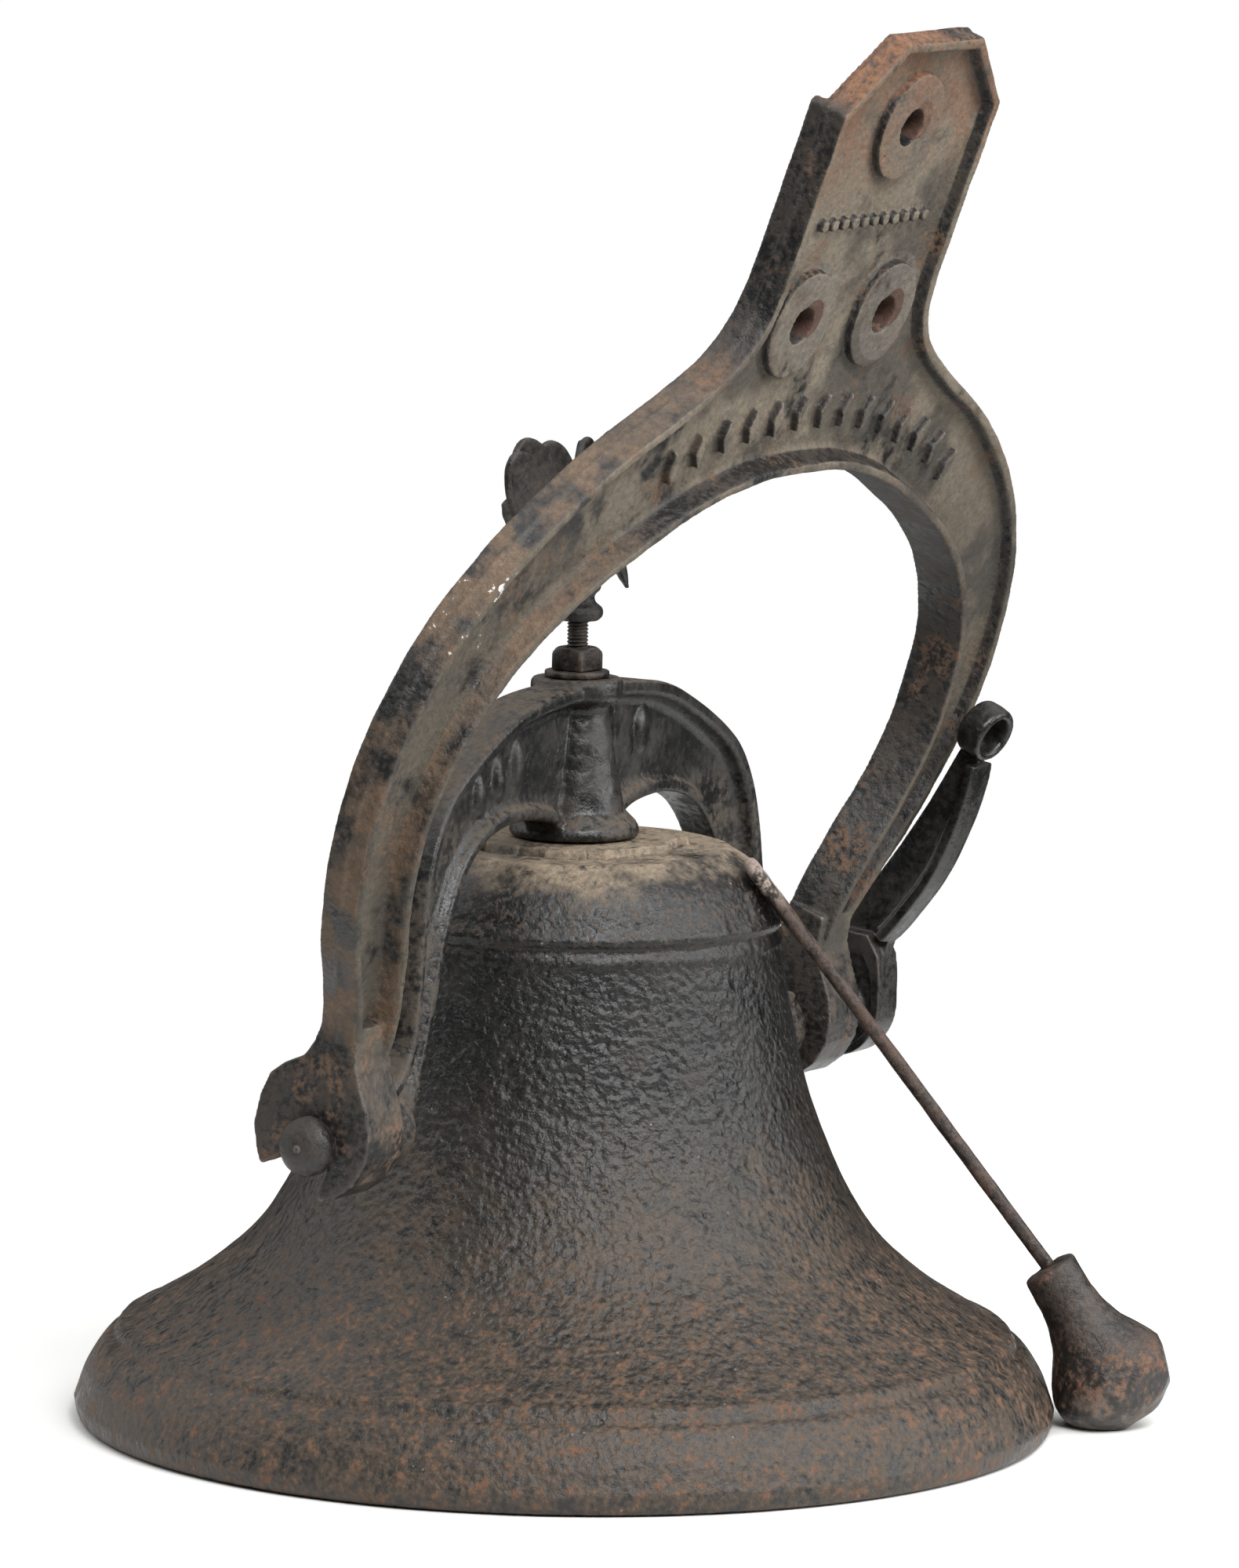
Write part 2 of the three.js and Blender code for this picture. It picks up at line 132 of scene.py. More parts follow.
# -------- shells: (points, faces)
def grid(rows, wrap_rows=False, wrap_cols=True):
    """Faces over a list of equally long rows of points."""
    points = np.vstack(rows)
    m, n = len(rows), len(rows[0])
    faces = []
    for i in range(m if wrap_rows else m - 1):
        for j in range(n if wrap_cols else n - 1):
            a, b = i * n + j, i * n + (j + 1) % n
            c, d = ((i + 1) % m) * n + (j + 1) % n, ((i + 1) % m) * n + j
            faces.append((a, b, c, d))
    return points, faces


def capped(rows):
    """A closed skin over rings of points, with a flat face on each end."""
    points, faces = grid(rows)
    n = len(rows[0])
    faces.append(tuple(range(n - 1, -1, -1)))
    faces.append(tuple(range(len(points) - n, len(points))))
    return points, faces


def lathe(profile, segments, wrap=False):
    """A surface turned about Z from [radius, z] points."""
    t = np.linspace(0, 2 * math.pi, segments, endpoint=False)
    rows = [np.stack([r * np.cos(t), r * np.sin(t), np.full(segments, z)], axis=1)
            for r, z in profile]
    return grid(rows, wrap_rows=wrap)


def closed_lathe(profile, segments=72):
    """A turned solid whose profile runs from the axis back to the axis."""
    profile = [[max(r, 0.01), z] for r, z in profile]
    points, faces = lathe(profile, segments)
    n = segments
    return points, faces + [tuple(range(n - 1, -1, -1)), tuple(range(len(points) - n, len(points)))]


def slab(outline, c0, c1, space, holes=()):
    """A flat plate with an outline and holes in 2-D, from c0 to c1, put in place by space(a, b, c)."""
    loops = [np.asarray(outline, float)] + [np.asarray(h, float) for h in holes]
    flat = np.vstack(loops)
    count = len(flat)
    points = np.vstack([space(flat[:, 0], flat[:, 1], np.full(count, c)) for c in (c0, c1)])
    faces = []
    for tri in tessellate_polygon([[Vector((a, b, 0)) for a, b in loop] for loop in loops]):
        faces.append(tuple(tri))
        faces.append(tuple(i + count for i in tri))
    start = 0
    for loop in loops:
        n = len(loop)
        for i in range(n):
            a, b = start + i, start + (i + 1) % n
            faces.append((a, b, b + count, a + count))
        start += n
    return points, faces


def sweep(line, section, space, side=1):
    """A [inward, depth] section carried along an open 2-D line and put in place by space."""
    inward = sideways(line) * side
    rows = []
    for a, c in section:
        moved = line + inward * a
        rows.append(space(moved[:, 0], moved[:, 1], np.full(len(line), c)))
    return capped([np.stack([row[i] for row in rows]) for i in range(len(line))])


def tube(path, radii, sides=16):
    """A round bar along a 3-D path."""
    path = np.asarray(path, float)
    tangent = np.gradient(path, axis=0)
    tangent /= np.linalg.norm(tangent, axis=1)[:, None]
    side = np.cross(tangent[0], [0.3, 0.2, 0.9])
    rows = []
    t = np.linspace(0, 2 * math.pi, sides, endpoint=False)
    for p, d, r in zip(path, tangent, np.broadcast_to(radii, len(path))):
        side = side - d * np.dot(side, d)
        side /= np.linalg.norm(side)
        other = np.cross(d, side)
        rows.append(p + r * (np.outer(np.cos(t), side) + np.outer(np.sin(t), other)))
    return capped(rows)


def blob(centre, radii, rotation=None, rings=14, sides=20):
    """A ball with three radii, turned by a rotation matrix."""
    rows = []
    for u in np.linspace(-0.49 * math.pi, 0.49 * math.pi, rings):
        t = np.linspace(0, 2 * math.pi, sides, endpoint=False)
        rows.append(np.stack([np.cos(u) * np.cos(t), np.cos(u) * np.sin(t),
                              np.full(sides, math.sin(u))], axis=1) * np.asarray(radii))
    points, faces = capped(rows)
    if rotation is not None:
        points = points @ np.asarray(rotation).T
    return points + np.asarray(centre, float), faces


def moved(shell, matrix=None, offset=(0, 0, 0)):
    """The shell turned by the matrix, then shifted by the offset."""
    points, faces = shell
    if matrix is not None:
        points = points @ np.asarray(matrix).T
    return points + np.asarray(offset, float), faces


def joined(shells):
    points, faces, start = [], [], 0
    for p, f in shells:
        points.append(p)
        faces += [tuple(i + start for i in face) for face in f]
        start += len(p)
    return np.vstack(points), faces


def turn_to(axis):
    """Rotation that takes +Z to the axis."""
    return np.array(Vector((0, 0, 1)).rotation_difference(Vector(axis)).to_matrix())


X_UP = np.array([[0, 0, 1], [0, 1, 0], [-1, 0, 0]], float)  # takes +Z to +X


def on_trunnion(shell):
    """A part turned about Z, laid along the trunnion axis with its z as x."""
    return moved(shell, X_UP, (0, 0, TRUNNION_Z))


def about_z(degrees):
    return np.array(Matrix.Rotation(math.radians(degrees), 3, "Z"))


# -------- Blender objects
def mesh_from(name, points, faces):
    mesh = bpy.data.meshes.new(name)
    mesh.from_pydata((np.asarray(points) * MM + AXIS).tolist(), [], faces)
    mesh.validate()
    mesh.update()
    return mesh


def outward(obj):
    bm = bmesh.new()
    bm.from_mesh(obj.data)
    bmesh.ops.recalc_face_normals(bm, faces=bm.faces)
    bm.to_mesh(obj.data)
    bm.free()


def new_object(name, data):
    obj = bpy.data.objects.new(name, data)
    bpy.context.scene.collection.objects.link(obj)
    return obj


def hand_over(obj, body, material, nodes, relief):
    """Roughen, smooth and paint a piece, and say which body it rides and which nodes it replaces."""
    if relief:
        displace(obj, relief)
    obj.data.polygons.foreach_set("use_smooth", [True] * len(obj.data.polygons))
    obj.data.materials.clear()
    obj.data.materials.append(material)
    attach(obj, body)
    if nodes:
        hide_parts(*nodes)


def add(name, shell, body, material, nodes=(), relief=None):
    """A piece made straight from a shell, which is in mm about the bell's axis."""
    obj = new_object(name, mesh_from(name, *shell))
    outward(obj)
    hand_over(obj, body, material, nodes, relief)


def displace(obj, relief):
    """Move each point along its normal by relief(points, normals), in mm."""
    mesh = obj.data
    n = len(mesh.vertices)
    points, normals = np.empty(n * 3), np.empty(n * 3)
    mesh.vertices.foreach_get("co", points)
    mesh.vertex_normals.foreach_get("vector", normals)
    points, normals = points.reshape(-1, 3), normals.reshape(-1, 3)
    local = (points - AXIS) / MM
    points = points + normals * (relief(local, normals) * MM)[:, None]
    mesh.vertices.foreach_set("co", points.ravel())
    mesh.update()


def fused(name, shells, voxel, rounds, body, material, nodes=(), relief=None):
    """Overlapping shells melted into one cast body by voxels, in mm, and rounds of smoothing."""
    source = new_object(name + "_raw", mesh_from(name, *joined(shells)))
    outward(source)
    remesh = source.modifiers.new("fuse", "REMESH")
    remesh.mode = "VOXEL"
    remesh.voxel_size = voxel * 1.0 * MM
    soften = source.modifiers.new("soften", "SMOOTH")
    soften.factor = 0.5
    soften.iterations = rounds
    bpy.context.view_layer.update()
    graph = bpy.context.evaluated_depsgraph_get()
    mesh = bpy.data.meshes.new_from_object(source.evaluated_get(graph))
    bpy.data.objects.remove(source)
    mesh.name = name
    hand_over(new_object(name, mesh), body, material, nodes, relief)


# -------- materials
class Nodes:
    """Short names for the shader nodes that the materials are made of."""

    def __init__(self, name):
        self.material = bpy.data.materials.new(name)
        self.material.use_nodes = True
        self.tree = self.material.node_tree
        self.tree.nodes.clear()
        self.shader = self.node("BsdfPrincipled")
        self.node("OutputMaterial", Surface=self.shader.outputs[0])
        coordinate = self.node("TexCoord")
        self.place, self.normal = coordinate.outputs["Object"], coordinate.outputs["Normal"]

    def link(self, a, b):
        self.tree.links.new(a, b)

    def put(self, socket, value):
        if hasattr(value, "links"):
            self.link(value, socket)
        else:
            socket.default_value = value

    def node(self, kind, **inputs):
        """A new node; each input is named with _ for a space and gets a value or another's output."""
        node = self.tree.nodes.new("ShaderNode" + kind)
        for name, value in inputs.items():
            self.put(node.inputs[name.replace("_", " ")], value)
        return node

    def math(self, operation, a, b=0.0):
        node = self.node("Math")
        node.operation = operation
        self.put(node.inputs[0], a)
        self.put(node.inputs[1], b)
        return node.outputs[0]

    def noise(self, scale, detail=4.0, rough=0.55):
        node = self.node("TexNoise", Vector=self.place, Scale=scale, Detail=detail, Roughness=rough)
        return node.outputs[0]

    def cells(self, scale, feature="F1"):
        """Distance to the nearest of many scattered points."""
        node = self.node("TexVoronoi", Vector=self.place, Scale=scale)
        node.feature = feature
        return node.outputs["Distance"]

    def ramp(self, value, start, end, low=0.0, high=1.0):
        """A smooth step from low at start to high at end."""
        node = self.node("MapRange", Value=value, From_Min=start, From_Max=end, To_Min=low, To_Max=high)
        node.interpolation_type = "SMOOTHSTEP"
        return node.outputs[0]

    def mix(self, factor, a, b):
        """Colour a where the factor is 0 and b where it is 1."""
        node = self.node("Mix")
        node.data_type = "RGBA"
        self.put(node.inputs[0], factor)
        for socket, value in ((node.inputs[6], a), (node.inputs[7], b)):
            self.put(socket, value if hasattr(value, "links") else (*value, 1.0))
        return node.outputs[2]

    def blend(self, factor, a, b):
        """Number a where the factor is 0 and b where it is 1."""
        node = self.node("Mix")
        node.data_type = "FLOAT"
        self.put(node.inputs[0], factor)
        self.put(node.inputs[2], a)
        self.put(node.inputs[3], b)
        return node.outputs[0]

    def bump(self, height, distance, strength=1.0, before=None):
        node = self.node("Bump", Strength=strength, Distance=distance, Height=height)
        if before:
            self.link(before, node.inputs["Normal"])
        return node.outputs[0]

    def dot(self, socket, axis):
        node = self.node("VectorMath")
        node.operation = "DOT_PRODUCT"
        self.link(socket, node.inputs[0])
        node.inputs[1].default_value = axis
        return node.outputs["Value"]

    def along(self, axis, origin=(0, 0, 0)):
        """How far a point lies along the axis from the origin, in metres."""
        start = sum(a * o for a, o in zip(axis, origin))
        return self.math("SUBTRACT", self.dot(self.place, axis), start)

    def average(self, a, b):
        return self.math("MULTIPLY", self.math("ADD", a, b), 0.5)

    def times(self, *values):
        total = values[0]
        for value in values[1:]:
            total = self.math("MULTIPLY", total, value)
        return total

    def patch(self, value, at, soft=0.05, amount=1.0):
        """A mask over the places where a noise rises past a level."""
        return self.ramp(value, at - soft, at + soft, 0.0, amount)

    def edges(self, start, end):
        """A mask by how sharp the surface is: over 0.5 on ridges, under it in hollows."""
        return self.ramp(self.node("NewGeometry").outputs["Pointiness"], start, end)


BLOTCH, MOTTLE, FINE, GRAIN, PIT = 11, 52, 330, 1500, 95  # features per metre
PEEL_DEPTH, PIT_DEPTH, LAYER_DEPTH, GRAIN_DEPTH = 0.0016, 0.0006, 0.0008, 0.0002  # in metres


def iron(name, dark, light, layers, rough=0.38, peel=0.5, peel_scale=230, grit=1.0, edge=0.5,
         edge_wear_highlight_tone=(0.30, 0.25, 0.20), hollow_shade=(0.016, 0.012, 0.009), skin_over=None):
    """Old painted cast iron: blotchy paint under layers of dust and rust, a pitted skin, edges lightened for
    wear and as a painted highlight, and a dark tone in the hollows as painted shade.

    layers(nodes) gives (mask, tone, roughness) rows, the lowest first.
    """
    n = Nodes(name)
    n.big, n.middle = n.noise(BLOTCH, 5, 0.6), n.noise(MOTTLE, 7, 0.62)
    n.fine, n.grain = n.noise(FINE, 6, 0.6), n.noise(GRAIN, 3, 0.6)
    n.mottled, n.broken = n.average(n.big, n.middle), n.average(n.middle, n.fine)
    colour = n.mix(n.patch(n.broken, 0.5, 0.09), dark, light)
    roughness = n.ramp(n.middle, 0.3, 0.7, rough - 0.06, rough + 0.10)
    height = n.fine
    speckle = n.patch(n.average(n.fine, n.grain), 0.5, 0.12)
    for mask, tone, shine in layers(n):
        shade = n.mix(speckle, [c * 0.72 for c in tone], [c * 1.18 for c in tone])
        colour = n.mix(mask, colour, shade)
        roughness = n.blend(mask, roughness, shine)
        height = n.math("ADD", height, n.times(mask, 0.12))
    # painted shade: a dark tone mixed into the hollows, where the surface curves inward
    colour = n.mix(n.times(n.edges(0.485, 0.44), 0.85), colour, hollow_shade)
    # wear and painted highlight: a pale tone in patches on the sharp ridges
    wear_and_highlight = n.times(n.edges(0.525, 0.59), n.patch(n.middle, 0.5, 0.1), edge)
    colour = n.mix(wear_and_highlight, colour, edge_wear_highlight_tone)
    n.link(colour, n.shader.inputs["Base Color"])
    n.link(roughness, n.shader.inputs["Roughness"])
    n.shader.inputs["Specular IOR Level"].default_value = 0.5
    skin = n.times(n.cells(peel_scale, "SMOOTH_F1"), 0.7)
    skin = n.math("ADD", skin, n.times(n.noise(peel_scale * 0.8, 3, 0.5), 0.9))
    if skin_over:
        skin = n.times(skin, skin_over(n))
    relief = n.bump(skin, PEEL_DEPTH * peel)
    relief = n.bump(n.ramp(n.cells(PIT), 0.05, 0.16), PIT_DEPTH * grit, 0.6, relief)
    relief = n.bump(height, LAYER_DEPTH * grit, 0.8, relief)
    relief = n.bump(n.grain, GRAIN_DEPTH * grit, 0.8, relief)
    n.link(relief, n.shader.inputs["Normal"])
    return n.material


def bell_layers(n):
    """A brown film over the flare, orange flecks by the lip, tan dust on the crown, pale specks."""
    z = n.along(UP)
    uneven = n.math("ADD", n.times(n.math("SUBTRACT", n.big, 0.5), 0.20),
                    n.times(n.math("SUBTRACT", n.middle, 0.5), 0.16))
    small = n.average(n.noise(115, 4), n.fine)
    blotches = n.patch(n.mottled, 0.58, 0.06, 0.35)
    film = n.times(n.ramp(n.math("ADD", z, uneven), 0.170, 0.060), n.patch(small, 0.47, 0.10), 0.9)
    flecks = n.times(n.ramp(z, 0.105, 0.055), n.patch(small, 0.575, 0.03))
    shoulder = n.times(n.ramp(z, 0.205, 0.235), n.patch(n.fine, 0.57, 0.05, 0.6))
    crown = n.times(n.ramp(n.math("ADD", z, n.times(uneven, 0.22)), 0.242, 0.259),
                    n.patch(small, 0.40, 0.13, 0.9))
    specks = n.times(n.ramp(n.cells(150), 0.10, 0.06), n.patch(n.noise(24, 2), 0.60, 0.03, 0.7))
    return [(blotches, (0.036, 0.027, 0.020), 0.55),
            (film, (0.066, 0.044, 0.027), 0.55),
            (flecks, (0.115, 0.056, 0.029), 0.7),
            (shoulder, (0.075, 0.050, 0.034), 0.7),
            (crown, (0.275, 0.215, 0.152), 0.92),
            (specks, (0.260, 0.230, 0.190), 0.7)]


def bell_skin(n):
    """Bumps all over the bell, but shallower on its crown, its shoulder and the band over its lip."""
    z = n.along(UP)
    return n.times(n.ramp(z, 0.205, 0.222, 1.0, 0.35), n.ramp(z, 0.034, 0.046, 0.6, 1.0))


LEAN_FRONT = (0.0, -math.cos(LEAN), -math.sin(LEAN))
LEAN_UP = (0.0, -math.sin(LEAN), math.cos(LEAN))
# The bracket's masks are measured from here, over the frame's origin at the height of the trunnions.
MASK_ORIGIN = (0.0, 0.0, TRUNNION_Z * MM)


def bracket_layers(n):
    """Olive dust in the web, brown rust on the sides, orange at the head, reddish bolt holes."""
    deep, up = n.along(LEAN_FRONT, MASK_ORIGIN), n.along(LEAN_UP, MASK_ORIGIN)
    across = n.along((1, 0, 0), MASK_ORIGIN)
    front = n.ramp(n.dot(n.normal, LEAN_FRONT), 0.55, 0.85)
    side = n.math("SUBTRACT", 1.0, front)
    recess = n.times(front, n.ramp(deep, 0.0012, -0.0012))
    leftward = n.ramp(n.dot(n.normal, (-1, 0, 0)), 0.2, 0.6)
    left_limb = n.times(n.ramp(across, -0.085, -0.110), n.ramp(up, 0.020, 0.060))
    film = n.times(side, n.patch(n.broken, 0.51, 0.05, 0.6))
    rust = n.times(side, leftward, left_limb, n.patch(n.mottled, 0.48, 0.06, 0.85))
    rubbed_rim = n.times(front, n.patch(n.mottled, 0.51, 0.05, 0.6))
    olive = n.times(recess, n.patch(n.mottled, 0.43, 0.05, 0.9))
    pale_dust = n.times(recess, n.ramp(up, 0.20, 0.34), n.patch(n.mottled, 0.44, 0.06, 0.9))
    stain = n.times(recess, n.patch(n.noise(15, 3), 0.55, 0.05, 0.65))
    head = n.times(side, n.ramp(up, 0.462, 0.468), n.ramp(across, 0.012, -0.004),
                   n.patch(n.broken, 0.44, 0.12, 0.9))
    web_rust = n.times(front, n.ramp(up, 0.405, 0.445), n.ramp(across, 0.024, -0.012),
                       n.patch(n.broken, 0.48, 0.10, 0.7))
    spots = n.times(n.patch(n.noise(34, 5), 0.59, 0.04), n.patch(n.fine, 0.5, 0.07, 0.7))
    layers = [(film, (0.046, 0.033, 0.024), 0.65),
              (rust, (0.165, 0.112, 0.072), 0.8),
              (rubbed_rim, (0.105, 0.078, 0.054), 0.75),
              (olive, (0.100, 0.084, 0.062), 0.9),
              (pale_dust, (0.200, 0.168, 0.125), 0.92),
              (stain, (0.030, 0.027, 0.024), 0.6),
              (head, (0.205, 0.100, 0.054), 0.85),
              (web_rust, (0.185, 0.098, 0.056), 0.85),
              (spots, (0.135, 0.076, 0.044), 0.85)]
    for a, b in SEATS:
        da, db = n.math("SUBTRACT", across, a * MM), n.math("SUBTRACT", up, b * MM)
        away = n.math("SQRT", n.math("ADD", n.times(da, da), n.times(db, db)))
        # a pale patchy tone on each seat's raised face, which is a painted highlight
        face = n.times(front, n.ramp(away, 0.0250, 0.0243), n.patch(n.middle, 0.44, 0.1, 0.8))
        bore = n.times(n.ramp(away, 0.0095, 0.0086), 0.9)
        layers += [(face, (0.150, 0.132, 0.110), 0.62), (bore, (0.080, 0.036, 0.023), 0.8)]
    top_seat = n.times(front, n.ramp(up, 0.425, 0.445), n.patch(n.mottled, 0.51, 0.05, 0.8))
    chips = n.times(n.ramp(across, -0.205, -0.215), n.ramp(up, 0.225, 0.232),
                    n.ramp(up, 0.268, 0.258), n.patch(n.broken, 0.612, 0.010))
    return layers + [(top_seat, (0.20, 0.115, 0.072), 0.8), (chips, (0.62, 0.60, 0.57), 0.5)]


def yoke_layers(n):
    """Brown dust where it can settle and round the hub's foot."""
    level = n.ramp(n.dot(n.normal, UP), 0.35, 0.85)
    film = n.patch(n.mottled, 0.54, 0.06, 0.35)
    settled = n.times(level, n.patch(n.broken, 0.47, 0.08, 0.8))
    low_dust = n.times(n.ramp(n.along(UP), 0.285, 0.262), n.patch(n.broken, 0.51, 0.06, 0.6))
    return [(film, (0.050, 0.043, 0.034), 0.7),
            (settled, (0.105, 0.082, 0.060), 0.85),
            (low_dust, (0.075, 0.055, 0.038), 0.8)]


def rubbed(tone, rust, amount=0.5):
    """A thin patchy film with rust spots, for the small hardware."""
    def layers(n):
        return [(n.patch(n.broken, 0.50, 0.07, amount), tone, 0.65),
                (n.patch(n.average(n.middle, n.grain), 0.56, 0.04, amount), rust, 0.75)]
    return layers


def rod_layers(n):
    """Brown rust, rubbed pale at the hook."""
    hook = n.times(n.ramp(n.along(UP), 0.232, 0.246), n.patch(n.broken, 0.47, 0.05, 0.9))
    rust = rubbed((0.080, 0.050, 0.038), (0.11, 0.054, 0.034), 0.7)(n)
    return rust + [(hook, (0.34, 0.27, 0.23), 0.5)]


def head_layers(n):
    """Orange rust on the pear's lower half and by its neck, and a pale foot."""
    z = n.along(UP)
    half = n.times(n.ramp(z, 0.005, 0.012), n.ramp(z, 0.045, 0.030), n.patch(n.broken, 0.53, 0.06, 0.75))
    neck = n.times(n.ramp(z, 0.055, 0.070), n.patch(n.broken, 0.59, 0.03))
    foot = n.times(n.ramp(z, 0.024, 0.008), n.patch(n.middle, 0.50, 0.06, 0.6))
    return rubbed((0.060, 0.045, 0.035), (0.085, 0.042, 0.026), 0.45)(n) + [
        (half, (0.17, 0.078, 0.040), 0.6),
        (neck, (0.15, 0.060, 0.034), 0.6),
        (foot, (0.21, 0.18, 0.15), 0.7)]


BLACK = (0.0065, 0.0063, 0.0062)
BELL = iron("bell_paint", BLACK, (0.013, 0.012, 0.011), bell_layers, rough=0.25, peel=0.95,
            peel_scale=300, edge=0.25, skin_over=bell_skin)
BRACKET = iron("bracket_paint", (0.011, 0.0108, 0.0105), (0.034, 0.031, 0.028), bracket_layers,
               rough=0.38, peel=0.35, peel_scale=260, edge=0.9, edge_wear_highlight_tone=(0.26, 0.22, 0.18),
               hollow_shade=(0.040, 0.026, 0.017))
YOKE = iron("yoke_paint", (0.0085, 0.0085, 0.0085), (0.024, 0.023, 0.021), yoke_layers, rough=0.30,
            peel=0.22, peel_scale=260, grit=0.6, edge=0.45, edge_wear_highlight_tone=(0.13, 0.11, 0.09))
LEVER = iron("lever_paint", (0.0075, 0.0075, 0.0075), (0.022, 0.021, 0.019),
             rubbed((0.030, 0.026, 0.022), (0.050, 0.036, 0.026), 0.35), rough=0.28, peel=0.10,
             peel_scale=260, grit=0.5, edge=0.6)
PIN = iron("pin_metal", (0.010, 0.009, 0.0085), (0.026, 0.023, 0.020),
           rubbed((0.036, 0.029, 0.024), (0.060, 0.034, 0.022)), rough=0.34, peel=0.2,
           peel_scale=200, edge=0.5)
BOLT = iron("bolt_metal", (0.012, 0.010, 0.0085), (0.034, 0.026, 0.020),
            rubbed((0.050, 0.036, 0.026), (0.075, 0.040, 0.024)), rough=0.38, peel=0.12,
            peel_scale=500, edge=0.5)
FINIAL = iron("finial_metal", (0.012, 0.011, 0.0105), (0.038, 0.033, 0.029),
              rubbed((0.060, 0.050, 0.042), (0.085, 0.058, 0.042), 0.4), rough=0.34, peel=0.15,
              peel_scale=350, edge=0.8, edge_wear_highlight_tone=(0.20, 0.17, 0.145))
ROD = iron("rod_metal", (0.020, 0.0145, 0.012), (0.055, 0.038, 0.030), rod_layers, rough=0.40,
           peel=0.12, peel_scale=420, edge=0.5)
HEAD = iron("clapper_metal", (0.014, 0.0115, 0.010), (0.045, 0.034, 0.027), head_layers, rough=0.34,
            peel=0.25, peel_scale=160, edge=0.8)


# -------- bell
BELL_SEGMENTS = 560
CROWN_TOP = 256.2
SEAM_Z, BEAD_Z, GROOVE_Z = 217, 41.5, 37.5
PLATE_RADIUS, PLATE_HEIGHT = 47, 3.2
INNER_WALL = [206, 162, 108, 86, 74, 0], [0, 57, 124, 215, 243, 246]  # radii and their heights


def bell_profile():
    lip = curve([[209, 0], [212.5, 0.5], [214.6, 2.4], [215.4, 5], [216, 9]], 8)
    waist = curve([[216, 9], [209.7, 25], [197, 40], [165, 60], [141, 80], [126.5, 100], [114, 125],
                   [104.5, 150], [98.5, 175], [93.5, 200], [90.5, 222]], 150)
    shoulder = curve([[90.5, 222], [92.5, 226], [90, 231], [87, 238], [80, 248], [68, 256]], 34)
    crown = [[r, CROWN_TOP - 0.1] for r in np.linspace(66, 55, 8)]
    crown += [[r, CROWN_TOP] for r in (*np.linspace(54, 39, 24), *np.linspace(37, 7, 8), 5.4)]
    inside = curve([[30, 246], [56, 245.5], [70, 243], [79, 234], [82.5, 215], [88, 180], [95, 150],
                    [105, 124], [119, 99], [136, 78], [160, 57], [184, 36], [196, 18], [203, 0]], 76)
    return np.vstack([lip[:-1], waist[:-1], shoulder, crown, [[5.4, 246]], inside, [[206, 0]]])


def ridge(value, at, width):
    return np.exp(-((value - at) / width) ** 2)


def bell_relief(p, normal):
    """Waves, dents and chips, the turned lines, and a broken round plate cast on the crown."""
    r = np.hypot(p[:, 0], p[:, 1])
    z = p[:, 2]
    outside = r > np.interp(z, INNER_WALL[1], INNER_WALL[0])
    wave = 0.35 * noise(p, 34, 3) + 0.13 * noise(p, 13, 4) + 0.10 * noise(p, 5.5, 5)
    dents = np.clip(noise(p, 9, 21) - 0.62, 0, 1) * -2.0 * outside
    chips = np.clip(noise(p, 15, 31) - 0.6, 0, 1) * -3.0 * (z > 150) * (z < 245) * outside
    rough = np.where(z < 0.6, 0, (wave + dents + chips) * np.clip(z / 4, 0, 1))
    bead = 1.2 * ridge(z, BEAD_Z, 1.6) * outside * (r > 150)
    groove = -1.1 * ridge(z, GROOVE_Z, 1.3) * outside * (r > 150)
    seam = 1.2 * ridge(z, SEAM_Z, 2.8) * outside * (r > 80)
    angle = np.arctan2(p[:, 1], p[:, 0])
    around = np.stack([np.cos(angle) * 60, np.sin(angle) * 60, np.zeros(len(p))], axis=1)
    broken = PLATE_RADIUS + 3.2 * noise(around, 15, 8) + 0.8 * noise(around, 4, 2)
    broken += 2.2 * np.sign(noise(around, 24, 9))
    on_top = (z > CROWN_TOP - 0.7) & (normal[:, 2] > 0.5)
    plate = (np.clip((broken - r) / 0.9, 0, 1) * PLATE_HEIGHT - ridge(r - broken, 1.2, 1.3)) * on_top
    return rough + bead + groove + seam + plate


# -------- bracket
def leaning(x, v, n):
    """From the bracket's own across, up and front, measured from the trunnion axis."""
    return np.stack([x, -v * math.sin(LEAN) - n * math.cos(LEAN),
                     TRUNNION_Z + v * math.cos(LEAN) - n * math.sin(LEAN)], axis=1)


def leaning_side(n, v, x):
    """The same for an outline drawn from the side, in front and up, and thick across."""
    return leaning(x, v, n)


def both(half):
    """The right half of a line with its mirror image, as one line."""
    half = np.asarray(half, float)
    left = half * [-1, 1]
    return np.vstack([half[::-1], left[1:] if abs(half[0][0]) < 1e-6 else left])


RING_OUTLINE = [[70, 384], [74, 366], [88, 349], [120, 331], [168, 308], [214, 276], [246, 241],
                [262, 206], [267, 172], [262, 138], [246, 98], [229, 72], [216, 48], [215, 26]]
OPENING = [[0, 294], [40, 292], [84, 282], [124, 266], [162, 247], [194, 222], [215, 192],
           [222, 162], [221, 138], [213, 112], [201, 88], [191, 62], [188, 40], [188, 22]]
ring_line = curve(RING_OUTLINE, 90)
tab_side = np.vstack([even([[33, 496], [70, 465]], 14)[:-1], even([[70, 465], [70, 384]], 22)[:-1]])
outer_line = both(np.vstack([even([[0, 496], [33, 496]], 8)[:-1], tab_side, ring_line]))
inner_line = both(curve(OPENING, 90))
OUTER_RIM = [[0.8, -15], [0, -14], [-0.2, -7.5], [-1.1, -6.2], [-0.9, -4.8], [0, -3.8], [0, 2.6],
             [0.9, 3.7], [4.4, 3.7], [5.3, 2.6], [5.8, 0.2], [6.6, -2.2], [9.4, -3.4], [9.4, -9],
             [8, -10.5], [6.8, -13], [6.2, -15]]
SHALLOW_RIM = [[a, max(c, -6.5)] for a, c in OUTER_RIM]  # round the head of the tab
